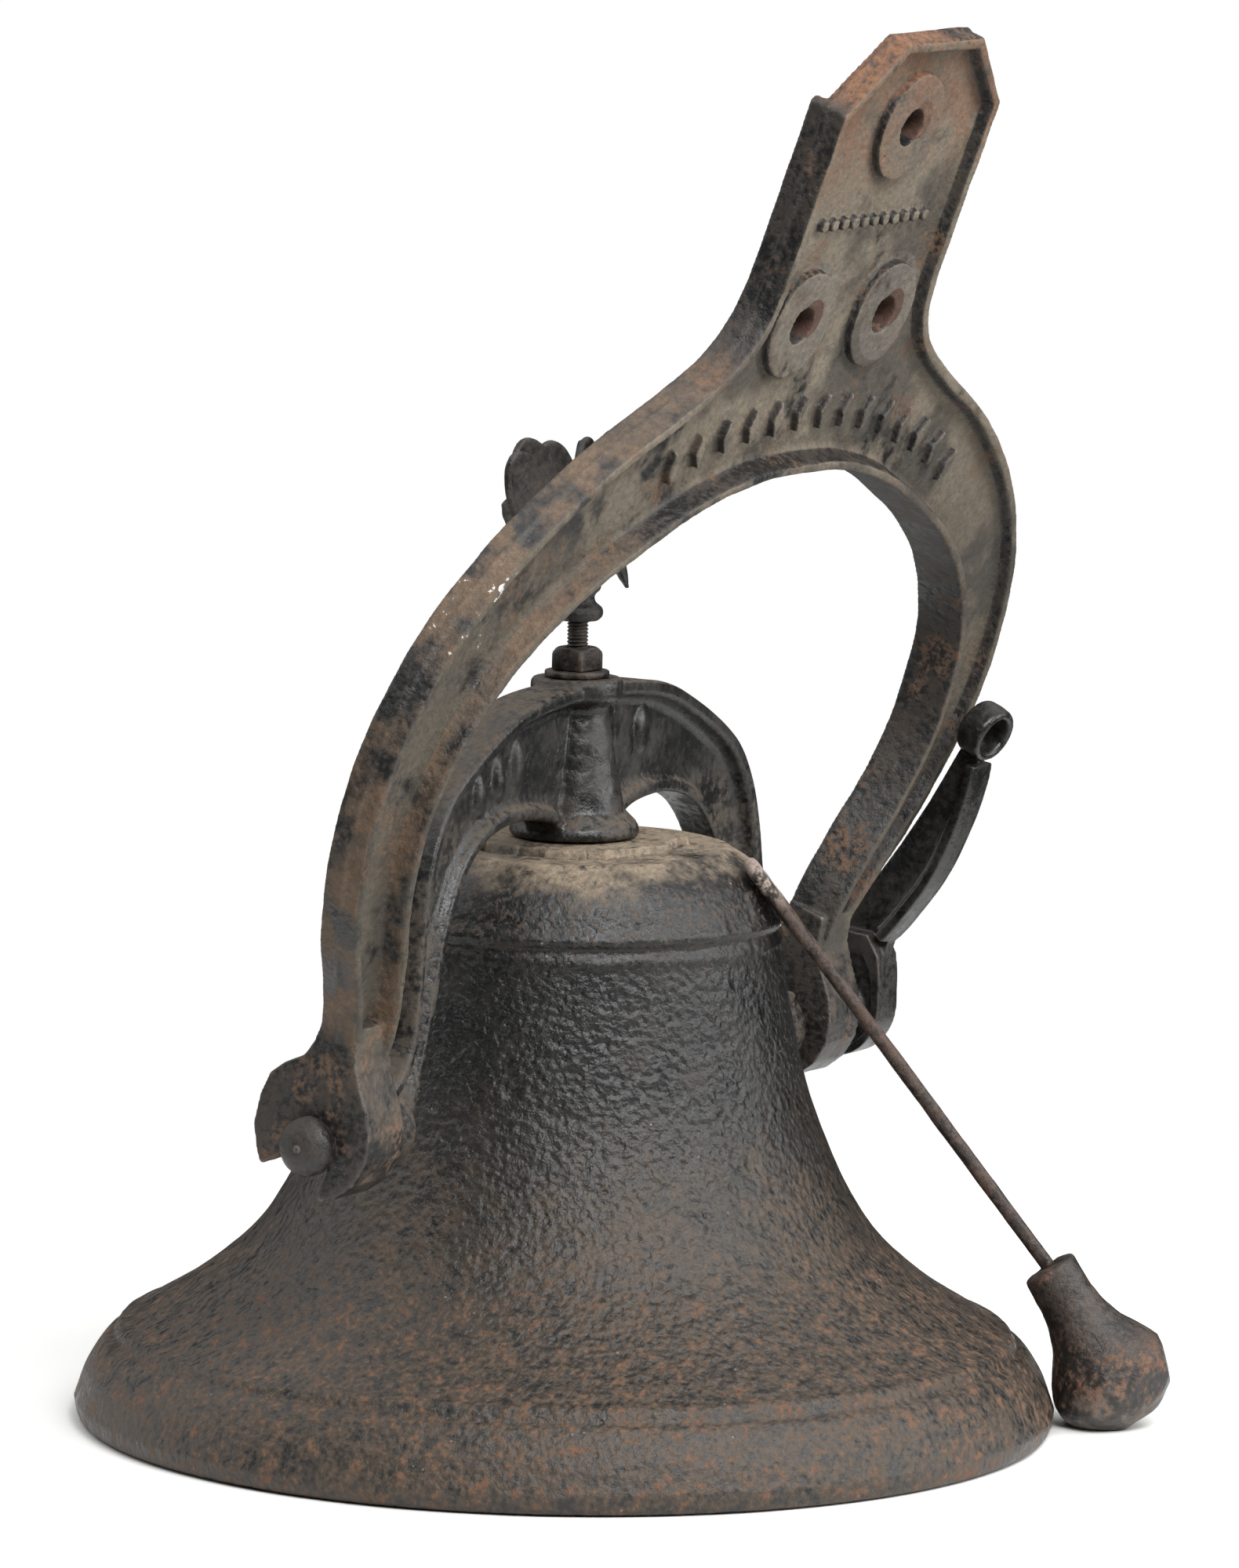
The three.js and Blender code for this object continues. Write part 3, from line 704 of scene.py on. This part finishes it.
INNER_RIM = [[-1.2, -15], [-1.5, -14], [1.6, 6.6], [2.5, 7.8], [5.4, 7.8], [6.3, 6.6], [6.9, 2.5],
             [7.8, -2.0], [10.6, -3.4], [10.6, -9], [8.5, -10.5], [7, -15]]
BEARING_RADIUS = 8.75
HOUSING = [[BEARING_RADIUS, 0], [10.2, -9], [10.0, -20], [12, -21], [18, -17], [24, -8], [26.3, 3],
           [24.5, 14], [20, 23], [12.5, 32], [6, 42], [3.5, 56], [-15, 56], [-15.5, 42], [-18, 34],
           [-25.6, 27], [-30.6, 19.7], [-31.5, 10], [-30, -4], [-24.5, -14], [-20.5, -18.6],
           [-14.4, -12.3], [-10.5, -6], [-BEARING_RADIUS, 0]]
notch = [[BEARING_RADIUS * math.cos(t), BEARING_RADIUS * math.sin(t)] for t in np.linspace(math.pi, 0, 14)]
HOUSING_X = 187.2, 216
BRACKET_BACK, WEB_BACK, WEB_FRONT, SEAT_FRONT = -15, -9, -3.4, 1
HOLE_RADIUS, SEAT_RADIUS = 8.5, 24.5
HEAD_POINTS = 20  # of the outer line, each side of its middle, that make the tab's head
LIMB_SHORT = 4  # points by which the web ends before the ring's lines do, inside the housings
BEAD_RADIUS, BEADS_UP = 2.9, 411
LOZENGE_LONG, LOZENGE_WIDE, LOZENGE_UP = 9, 3.8, 8  # half its height, half its width, over its line


def ornament():
    """Plain raised beading and lozenges in place of the casting's words."""
    foot = WEB_FRONT - 1.1
    shells = [slab(circle(BEAD_RADIUS, x, BEADS_UP, 14), foot, 0.2, leaning)
              for x in np.linspace(-45, 45, 11)]
    line = curve([[-104, 296], [-60, 308], [0, 313], [60, 308], [120, 291], [150, 276]], 14)
    for point, step in zip(line, np.gradient(line, axis=0)):
        u = step / np.linalg.norm(step)
        w = np.array([-u[1], u[0]])
        centre = point + w * LOZENGE_UP
        up, out = w * LOZENGE_LONG, u * LOZENGE_WIDE
        shells.append(slab([centre + up, centre - out, centre - up, centre + out], foot, 0.8, leaning))
    return shells


def bracket_shells():
    holes = [circle(HOLE_RADIUS, a, b, 40) for a, b in SEATS]
    limb = np.vstack([line[LIMB_SHORT:-LIMB_SHORT] for line in (outer_line, inner_line[::-1])])
    shells = [slab(limb, WEB_BACK, WEB_FRONT, leaning, holes)]
    left, right = len(outer_line) // 2 - HEAD_POINTS, len(outer_line) // 2 + HEAD_POINTS
    for part, rim in ((outer_line[left:right + 1], SHALLOW_RIM), (outer_line[:left + 2], OUTER_RIM),
                      (outer_line[right - 1:], OUTER_RIM)):
        shells.append(sweep(part, rim, leaning, side=-1))
    shells.append(sweep(inner_line, INNER_RIM, leaning))
    for (a, b), hole in zip(SEATS, holes):
        shells.append(slab(circle(SEAT_RADIUS, a, b, 72), BRACKET_BACK, SEAT_FRONT, leaning, [hole]))
    outline = np.vstack([HOUSING, notch[1:-1]])
    for side in (1, -1):
        x0, x1 = sorted(x * side for x in HOUSING_X)
        shells.append(slab(outline, x0, x1, leaning_side))
    return shells + ornament()


def bracket_relief(p, normal):
    return 0.28 * noise(p, 22, 41) + 0.20 * noise(p, 9, 42) + 0.10 * noise(p, 4.2, 43)


# -------- yoke
def upright(x, z, y):
    """For an outline drawn from the front, in across and up, and thick in y."""
    return np.stack([x, y, z], axis=1)


YOKE_OUTER = [[0, 327.6], [34, 326.3], [66, 321], [99, 307], [125, 291], [139, 272], [146, 252],
              [150, 230], [153, 205], [157, 186], [168, 173], [182.5, 169]]
YOKE_INNER = [[26, 262], [30, 268], [42, 271.5], [60, 273], [76, 271.5], [90, 267], [100, 260.5],
              [108, 252], [115, 241], [121, 228], [127, 210], [134, 188], [143, 165], [154, 148],
              [168, 138], [182.5, 135]]
ARCH_RIM = [[0.6, -12], [1.6, -13], [5, -12.6], [6.8, -11], [7.4, -8.5], [9, -5.8], [12, -4.5],
            [12, 4.5], [9, 5.8], [7.4, 8.5], [6.8, 11], [5, 12.6], [1.6, 13], [0.6, 12], [0, 10],
            [0, -10]]
LOWER_RIM = [[0, -7.5], [0.8, -8.8], [4.5, -9], [6, -7.6], [7.2, -5.6], [10, -4.5], [10, 4.5],
             [7.2, 5.6], [6, 7.6], [4.5, 9], [0.8, 8.8], [0, 7.5]]
HUB = [[0, 259.8], [24, 259.8], [28, 260.6], [28.7, 262.5], [28, 265.5], [25, 268.6], [22, 272],
       [19.2, 285], [16.2, 302], [13.8, 315], [14.8, 318], [19.2, 320.6], [20.2, 322.4], [20.2, 328],
       [19.2, 329.8], [0, 330]]


YOKE_WEB = 4.5  # half its thickness
TRUNNION_BOSS = 158, 186.3  # from and to, across


def yoke_shells():
    outer, right = curve(YOKE_OUTER, 80), curve(YOKE_INNER, 90)
    shells = [sweep(both(outer), ARCH_RIM, upright, side=-1)]
    for side in (1, -1):
        half, edge = right * [side, 1], outer * [side, 1]
        shells.append(sweep(half, LOWER_RIM, upright, side=-side))
        shells.append(slab(np.vstack([edge, half[::-1], [[0, 262]]]), -YOKE_WEB, YOKE_WEB, upright))
    shells.append(closed_lathe(HUB))
    for side in (1, -1):
        x0, x1 = sorted(x * side for x in TRUNNION_BOSS)
        profile = [[0, x0], [15.4, x0], [17, x0 + 1.6], [17, x1 - 1.4], [15.6, x1], [0, x1]]
        shells.append(on_trunnion(closed_lathe(profile, 56)))
    # smooth lobes in place of the casting's letters and numeral
    for x in (-58, -74, -90):
        for face in (-1, 1):
            shells.append(blob((x, face * 4.34, 298 - (abs(x) - 58) * 0.34), (4.8, 2.9, 10)))
    for face in (-1, 1):
        shells.append(blob((50, face * 4.4, 302), (6.2, 2.9, 10.5)))
    return shells


def yoke_relief(p, normal):
    """Waves all over, and dents as if hammered on the hub."""
    hub = (np.hypot(p[:, 0], p[:, 1]) < 27) & (p[:, 2] > 266) & (p[:, 2] < 320)
    return 0.22 * noise(p, 20, 51) + 0.10 * noise(p, 8, 52) + 0.30 * noise(p, 5.2, 55) * hub


# -------- rope lever
def lever_space(forward, up, x):
    """For an outline drawn from the side, in forward and up from the trunnion axis, thick in x."""
    return np.stack([x, -forward, TRUNNION_Z + up], axis=1)


LEVER_X = 243, 262
LEVER_FRONT = [[23, 33], [32, 43], [48, 64], [60, 88], [67, 108], [69, 118]]
LEVER_REAR = [[58, 125], [49, 110], [39, 94], [25, 74], [10, 55], [-4, 39], [-17, 22]]
LEVER_FOOT = [[-22.5, 3], [-18.5, -12], [-9, -19.5], [3, -21], [14, -15.5], [21, -4], [22.5, 12], [21.5, 26]]
LEVER_BAND = [[0.2, 243.6], [0.9, 243], [4.2, 243], [5.2, 244.2], [6.6, 249], [10, 250], [10, 258],
              [6.6, 259.4], [5.2, 261], [4.2, 262], [0.9, 262], [0.2, 261.4], [-0.4, 257],
              [-0.4, 248]]
LEVER_BOSS = [[8.6, 243.6], [12.4, 243.8], [14, 245.6], [14.4, 252], [8.6, 252]]
ROPE_EYE = [[8.7, 5.2], [8.4, 0], [8.9, -6], [10, -6.8], [12, -6.6], [13, -5], [13.4, 0], [13, 5],
            [12, 6.6], [10.4, 6.9], [9.4, 6.5]]
ROPE_EYE_AT = 252.5, -69.5, TRUNNION_Z + 134
ROPE_EYE_AXIS = Vector((-0.13, -0.90, -0.42)).normalized()


def lever_shells():
    x0, x1 = LEVER_X
    front, rear, foot = curve(LEVER_FRONT, 50), curve(LEVER_REAR, 50), curve(LEVER_FOOT, 40)
    shells = [slab(np.vstack([foot, front, rear]), x0 + 7, x1 - 4, lever_space)]
    shells.append(sweep(front, LEVER_BAND, lever_space, side=-1))
    hub = np.vstack([foot, [[16, 36], [0, 38], [-12, 27]]])
    centre = hub.mean(axis=0)
    recess = centre + (hub - centre) * 0.76
    shells.append(slab(hub, x0, x0 + 3.5, lever_space, [recess]))
    shells.append(slab(hub, x0 + 3, x1, lever_space))
    shells.append(on_trunnion(lathe(LEVER_BOSS, 56, wrap=True)))
    shells.append(moved(lathe(ROPE_EYE, 64, wrap=True), turn_to(ROPE_EYE_AXIS), ROPE_EYE_AT))
    return shells


def lever_relief(p, normal):
    return 0.20 * noise(p, 18, 61) + 0.10 * noise(p, 7, 62)


# -------- pins, bolt, nuts, washers
PIN_RADIUS = 8
PIN_HEAD_X = -217  # the underside of the left pin's head


def left_pin():
    x = PIN_HEAD_X
    body = [[0, -152], [7.2, -152], [PIN_RADIUS, -153], [PIN_RADIUS, x], [12.2, x], [12.7, x - 0.8]]
    dome = curve([[12.6, x - 4.4], [12, x - 6.2], [9.8, x - 8.6], [6.4, x - 10.6], [3, x - 11.7],
                  [0.01, x - 12]], 14)
    return on_trunnion(closed_lathe(np.vstack([body, dome]), 88))


def right_pin_shells():
    """A round journal and the square seat of the lever."""
    journal = [[0, 152], [7.4, 152], [PIN_RADIUS, 152.8], [PIN_RADIUS, 249.4], [7.4, 250], [5.4, 250],
               [5.4, 261], [0, 261]]
    seat = slab([[-6, -6], [6, -6], [6, 6], [-6, 6]], 249.5, 261, lever_space)
    return [on_trunnion(closed_lathe(journal, 64)), seat]


def pin_relief(p, normal):
    head = p[:, 0] < PIN_HEAD_X - 0.5
    return head * (0.35 * noise(p, 8, 71) + 0.18 * noise(p, 3, 72))


def threaded(radius, depth, pitch, z0, z1, sides=48, per_pitch=7):
    """A screw thread about Z whose crest winds up by one pitch a turn."""
    count = max(int((z1 - z0) / pitch * per_pitch), 4)
    t = np.linspace(0, 2 * math.pi, sides, endpoint=False)
    rows = []
    for z in np.linspace(z0, z1, count):
        phase = (z / pitch - t / (2 * math.pi)) % 1.0
        r = radius - depth * np.abs(phase * 2 - 1) ** 0.85
        end = min(1.0, (z - z0) / pitch + 0.75, (z1 - z) / pitch + 0.75)
        rows.append(np.stack([r * end * np.cos(t), r * end * np.sin(t), np.full(sides, z)], axis=1))
    return capped(rows)


def square_nut(across, hole, height, segments=64):
    """A square nut with its top corners turned off and a chamfered hole."""
    t = np.linspace(0, 2 * math.pi, segments, endpoint=False) + math.pi / segments
    cosine, sine = np.cos(t), np.sin(t)
    half = across / 2
    blunt = 1.34  # how far the corners reach, over half the width
    square = np.minimum(half / np.maximum(np.abs(cosine), np.abs(sine)), half * blunt)
    rows = [(np.minimum(square, half * reach), z)
            for reach, z in ((blunt, 0.5), (blunt, height - 3.4), (1.30, height - 2.2),
                             (1.16, height - 0.9), (1.02, height - 0.15), (0.92, height))]
    rows += [(hole + 0.7, height), (hole, height - 0.7), (hole, 0.7), (hole + 0.6, 0), (square - 0.5, 0)]
    rings = [np.stack([r * cosine, r * sine, np.full(segments, z)], axis=1) for r, z in rows]
    return grid(rings, wrap_rows=True)


def washer(inner, outer, z0, z1, segments=72):
    bevel = 0.45
    return lathe([[inner, z0 + bevel], [inner + bevel, z0], [outer - bevel, z0], [outer, z0 + bevel],
                  [outer, z1 - bevel], [outer - bevel, z1], [inner + bevel, z1], [inner, z1 - bevel]],
                 segments, wrap=True)


def small_relief(p, normal):
    return 0.10 * noise(p, 5, 81) + 0.06 * noise(p, 2, 82)


BOLT_EYE_Z, BOLT_EYE_RADIUS, BOLT_EYE_WIRE = 224, 11, 4


def eye_bolt_shells():
    """The clapper's eye inside the bell, under a shoulder and a short shank."""
    u = np.linspace(0, 2 * math.pi, 20, endpoint=False)
    rows = []
    for a in np.linspace(0, 2 * math.pi, 56, endpoint=False):
        out = np.array([math.cos(a), 0, math.sin(a)])
        centre = UP * BOLT_EYE_Z + out * BOLT_EYE_RADIUS
        rows.append(centre + BOLT_EYE_WIRE * (np.outer(np.cos(u), out) + np.outer(np.sin(u), [0, 1, 0])))
    neck = closed_lathe([[0, 231], [4.6, 231], [5, 233.5], [8.6, 236.2], [9, 237], [9, 239.4],
                         [8.6, 239.8], [4.4, 239.8], [4.4, 249], [0, 249]], 40)
    return [grid(rows, wrap_rows=True), neck]


# -------- finial
def feather(start, end, width, thick):
    """One cupped lobe of a wing from start to a round tip at end, with a raised rim."""
    start, end = np.asarray(start, float), np.asarray(end, float)
    along = (end - start) / np.linalg.norm(end - start)
    flat = np.array([0.0, 1.0, 0.0])
    wide = np.cross(along, flat)
    u = np.linspace(0, 2 * math.pi, 18, endpoint=False)
    rows, left, right = [], [], []
    for s in np.linspace(0, 1, 20):
        p = start + (end - start) * s
        w = width * (math.sqrt(max(1 - ((s - 0.55) / 0.46) ** 2, 0.004)) if s > 0.55 else 0.55 + 0.82 * s)
        rows.append(p + np.outer(np.cos(u) * w, wide) + np.outer(np.sin(u) * thick * 0.7, flat))
        left.append(p - wide * (w - 0.8) - flat * thick * 0.25)
        right.append(p + wide * (w - 0.8) - flat * thick * 0.25)
    rim = even(np.array(left + right[::-1]), 70)
    return [capped(rows), tube(rim, 1.0 + 0.22 * thick, 10)]


# each feather of a wing: its start and its tip in x and z, its half width, and its tip's y
FEATHERS = [((20, 388), (39, 429), 10.5, -5.0), ((16, 396), (31, 434), 11.0, 0.5),
            ((8, 400), (15, 432), 10.0, 5.0), ((17, 386), (41, 408), 6.5, -1.5),
            ((15, 384), (38, 394), 5.5, 1.0)]
FEATHER_THICK = 4.6
WING_TURN = {-1: -24, 1: 4}  # degrees about the bolt, left and right


def finial_shells():
    """A turned collar, and a spread eagle on it: body, head, beak, and two wings with a claw each."""
    collar = curve([[9, 355], [11, 357.3], [10.6, 360.4], [7.7, 363], [7.4, 366], [9.7, 368.6],
                    [9.7, 371.4], [7, 374], [6, 377], [8.4, 384], [10.6, 393], [10, 402], [7.4, 409],
                    [5, 413]], 60)
    shells = [closed_lathe(np.vstack([[[0, 354.9], [8, 354.9]], collar, [[0, 414]]]), 56)]
    shells.append(blob((0, -3, 416), (6.1, 6.6, 6.6)))
    shells.append(blob((0, -10.5, 413.6), (2.0, 4.6, 2.5)))
    shells.append(blob((0, 5, 383), (7.4, 4.2, 13)))
    for side, degrees in WING_TURN.items():
        wing = []
        for (x0, z0), (x1, z1), width, y in FEATHERS:
            wing += feather((x0 * side, y * 0.4, z0), (x1 * side, y, z1), width, FEATHER_THICK)
        wing.append(tube([[14 * side, 0, 384], [26 * side, -1, 381], [37 * side, -2, 375],
                          [45 * side, -2, 365]], [6.0, 4.6, 3.2, 0.9], 14))
        wing.append(blob((14 * side, -1.5, 397), (10, 4.6, 8)))
        shells += [moved(shell, about_z(degrees)) for shell in wing]
    return shells


def finial_relief(p, normal):
    return 0.16 * noise(p, 6, 91) + 0.1 * noise(p, 2.6, 92)


# -------- clapper
TURN = math.atan2(0.865, 0.502)  # where the clapper leans, from +x towards -y
SIDE = np.array([math.cos(TURN), -math.sin(TURN), 0.0])
ALONG = np.array([-math.sin(TURN), -math.cos(TURN), 0.0])
ROD_TOP = SIDE * 76.4 + ALONG * 28 + UP * 253.3
ROD_FOOT = SIDE * 212 - ALONG * 6 + UP * 71.5
ROD_LENGTH = np.linalg.norm(ROD_FOOT - ROD_TOP)
DOWN = (ROD_FOOT - ROD_TOP) / ROD_LENGTH
FRONT = ALONG - DOWN * np.dot(ALONG, DOWN)
FRONT /= np.linalg.norm(FRONT)
ROD_RADIUS = 3.2
BEND_AT, HOOK_END = 4, 46  # down the rod from its top
HEAD_TILT = math.radians(31)
# flats hammered on the pear: which way each faces, and how far from the pear's middle
FLATS = [((0.45, -0.75, 0.25), 25.5), ((-0.30, -0.80, -0.10), 26.2), ((0.9, -0.1, -0.1), 26.6),
         ((0.2, -0.5, -0.85), 25.0), ((0.75, -0.60, -0.45), 25.6), ((-0.7, -0.55, 0.2), 26.4),
         ((0.3, 0.8, 0.1), 26.5), ((-0.9, 0.2, -0.3), 26.8)]


def rod_path():
    """Up the doubled-back end of the hook, round its bend and down the rod."""
    bend = ROD_RADIUS + 0.35
    strand = [ROD_TOP + DOWN * s + FRONT * 2 * bend for s in np.linspace(HOOK_END, BEND_AT, 20)]
    turn = [ROD_TOP + DOWN * (BEND_AT - bend * math.sin(t)) + FRONT * (bend + bend * math.cos(t))
            for t in np.linspace(0.2, math.pi - 0.2, 12)]
    rest = [ROD_TOP + DOWN * s for s in np.linspace(BEND_AT, ROD_LENGTH + 11, 120)]
    return np.array(strand + turn + rest)


def clapper_rod():
    path = rod_path()
    radii = np.full(len(path), ROD_RADIUS)
    radii[:4] = [1.6, 2.6, 3.0, 3.15]
    return tube(path, radii, 24)


def rod_relief(p, normal):
    return 0.14 * noise(p, 11, 95) + 0.09 * noise(p, 3.5, 96)


def clapper_head():
    profile = curve([[9, 0.2], [11.8, 1.2], [12.8, 4], [13.2, 19], [16.5, 32], [22, 42], [26.5, 50],
                     [29, 57], [28.2, 64], [24, 70.5], [16, 77], [9.5, 81]], 110)
    profile = np.vstack([[[3.6, 3], [3.6, 0]], profile, [[0.01, 82]]])
    points, faces = closed_lathe(profile, 140)
    axis = SIDE * math.sin(HEAD_TILT) - UP * math.cos(HEAD_TILT)
    points = points @ turn_to(axis).T + ROD_FOOT
    middle = ROD_FOOT + axis * 55
    for direction, reach in FLATS:
        d = np.array(direction) / np.linalg.norm(direction)
        beyond = np.clip((points - middle) @ d - reach, 0, None)
        points = points - np.outer(beyond * 0.85, d)
    points[:, 2] = np.maximum(points[:, 2], 0.02)
    return points, faces


def head_relief(p, normal):
    rough = 0.35 * noise(p, 14, 97) + 0.22 * noise(p, 6, 98) + 0.12 * noise(p, 2.8, 99) - 0.35
    return rough * np.clip(p[:, 2] / 3, 0, 1)


# -------- all the pieces
ROOT = "bell_and_yoke"
BOLT_HOLE = 5.05  # radius, of the nut and washers on the centre bolt
STUD_HOLE = 6.3  # the same on the right pin

add("bell_casting", lathe(bell_profile(), BELL_SEGMENTS, wrap=True), ROOT, BELL, ["bell"],
    bell_relief)
fused("post_bracket", bracket_shells(), 0.88, 2, "bracket", BRACKET, ["bracket"],
      bracket_relief)
fused("arched_yoke", yoke_shells(), 0.85, 2, ROOT, YOKE, ["yoke"], yoke_relief)
fused("lever_casting", lever_shells(), 0.75, 4, ROOT, LEVER, ["rope_lever"], lever_relief)
fused("eagle_finial", finial_shells(), 0.55, 2, ROOT, FINIAL, ["finial"], finial_relief)
fused("bolt_eye", eye_bolt_shells(), 0.6, 3, ROOT, BOLT, ["eye_bolt"], small_relief)
add("bolt_thread", threaded(4.75, 0.75, 1.6, 248, 367.5), ROOT, BOLT)
add("pin_left", left_pin(), ROOT, PIN, ["trunnion_pin_left"], pin_relief)
fused("pin_right", right_pin_shells(), 0.6, 2, ROOT, PIN, ["trunnion_pin_right"])
add("pin_right_thread", on_trunnion(threaded(6, 0.8, 1.9, 260, 278)), ROOT, BOLT)
for name, shell, node in (
        ("washer_lever", on_trunnion(washer(STUD_HOLE, 13, 262.3, 264.5)), "lever_washer"),
        ("nut_lever", on_trunnion(moved(square_nut(19, STUD_HOLE, 9), offset=(0, 0, 264.8))), "lever_nut"),
        ("washer_inside", washer(BOLT_HOLE, 15, 240.1, 242.6), "inner_washer"),
        ("washer_top", washer(BOLT_HOLE, 14.2, 330.3, 332.9), "top_washer"),
        ("nut_top", moved(square_nut(16.6, BOLT_HOLE, 10), about_z(-7), (0, 0, 333.2)), "top_nut")):
    add(name, shell, ROOT, BOLT, [node], small_relief)
add("clapper_bar", clapper_rod(), "clapper", ROD, ["clapper_rod"], rod_relief)
add("clapper_pear", clapper_head(), "clapper", HEAD, ["clapper_head"], head_relief)


# -------- floor, light and camera
FLOOR_HALF = 0.95
FLOOR_FADE = 0.42, 0.90  # from where to where the floor fades out, from the middle
CAMERA_AT = (-3794.1, -2190.5, 865.3)  # in mm about the bell's axis
CAMERA_HEADING = (0.86067, 0.49182, -0.13177)
CAMERA_ROLL = math.radians(1.04)
CAMERA_LENS, SENSOR_HEIGHT = 231.75, 36
CAMERA_AZIMUTH = math.degrees(math.atan2(CAMERA_AT[1], CAMERA_AT[0]))
LIGHTS_AIM = Vector((0, 0, 0.25))


def floor():
    """A white disc that fades into the white background round it."""
    n = Nodes("floor_white")
    n.shader.inputs["Base Color"].default_value = (0.9, 0.9, 0.89, 1)
    n.shader.inputs["Roughness"].default_value = 0.9
    reach = n.node("VectorMath", Vector=n.place)
    reach.operation = "LENGTH"
    n.link(n.ramp(reach.outputs["Value"], *FLOOR_FADE, 1.0, 0.0), n.shader.inputs["Alpha"])
    mesh = bpy.data.meshes.new("floor")
    corners = [(x * FLOOR_HALF, y * FLOOR_HALF, 0) for x, y in ((-1, -1), (1, -1), (1, 1), (-1, 1))]
    mesh.from_pydata(corners, [], [(0, 1, 2, 3)])
    obj = new_object("floor", mesh)
    obj.data.materials.append(n.material)
    obj.location.z = -0.0004


def softbox(name, azimuth, height, distance, width, tall, power):
    """An area light aimed at the object: azimuth in degrees from the camera's side, sizes in metres."""
    heading = math.radians(CAMERA_AZIMUTH + azimuth)
    light = bpy.data.lights.new(name, "AREA")
    light.shape = "RECTANGLE"
    light.size, light.size_y = width, tall
    light.energy = power
    obj = new_object(name, light)
    obj.location = place = Vector((math.cos(heading) * distance, math.sin(heading) * distance, height))
    obj.rotation_euler = (LIGHTS_AIM - place).to_track_quat("-Z", "Y").to_euler()


def world():
    """White behind the object; for the light it gives, bright overhead and dim lower down."""
    w = bpy.data.worlds.new("studio")
    w.use_nodes = True
    bpy.context.scene.world = w
    tree = w.node_tree
    background = tree.nodes["Background"]
    split = tree.nodes.new("ShaderNodeSeparateXYZ")
    tree.links.new(tree.nodes.new("ShaderNodeTexCoord").outputs["Generated"], split.inputs[0])
    height = tree.nodes.new("ShaderNodeMapRange")
    height.interpolation_type = "SMOOTHSTEP"
    tree.links.new(split.outputs[2], height.inputs["Value"])
    for name, value in (("From Min", 0.30), ("From Max", 0.80), ("To Min", 0.035), ("To Max", 1.25)):
        height.inputs[name].default_value = value
    seen = tree.nodes.new("ShaderNodeLightPath")
    mix = tree.nodes.new("ShaderNodeMix")
    mix.data_type = "FLOAT"
    mix.inputs[3].default_value = 1.0
    tree.links.new(seen.outputs["Is Camera Ray"], mix.inputs[0])
    tree.links.new(height.outputs[0], mix.inputs[2])
    tree.links.new(mix.outputs[0], background.inputs["Strength"])
    background.inputs["Color"].default_value = (1, 1, 1, 1)


def camera():
    data = bpy.data.cameras.new("camera")
    data.sensor_fit = "VERTICAL"
    data.sensor_height = SENSOR_HEIGHT
    data.lens = CAMERA_LENS
    data.clip_end = 50
    obj = new_object("camera", data)
    forward = Vector(CAMERA_HEADING).normalized()
    level = forward.cross(Vector((0, 0, 1))).normalized()
    right = level * math.cos(CAMERA_ROLL) + level.cross(forward) * math.sin(CAMERA_ROLL)
    turn = Matrix((right, right.cross(forward), -forward)).transposed()
    at = Vector(np.array(CAMERA_AT) * MM + AXIS)
    obj.matrix_world = Matrix.Translation(at) @ turn.to_4x4()
    bpy.context.scene.camera = obj


floor()
world()
softbox("key", azimuth=26, height=2.0, distance=2.0, width=1.7, tall=0.9, power=70)
softbox("right", azimuth=84, height=0.9, distance=2.3, width=1.0, tall=1.5, power=34)
softbox("left", azimuth=-118, height=0.9, distance=2.2, width=0.9, tall=1.5, power=8)
camera()
bpy.context.scene.view_settings.view_transform = "Standard"
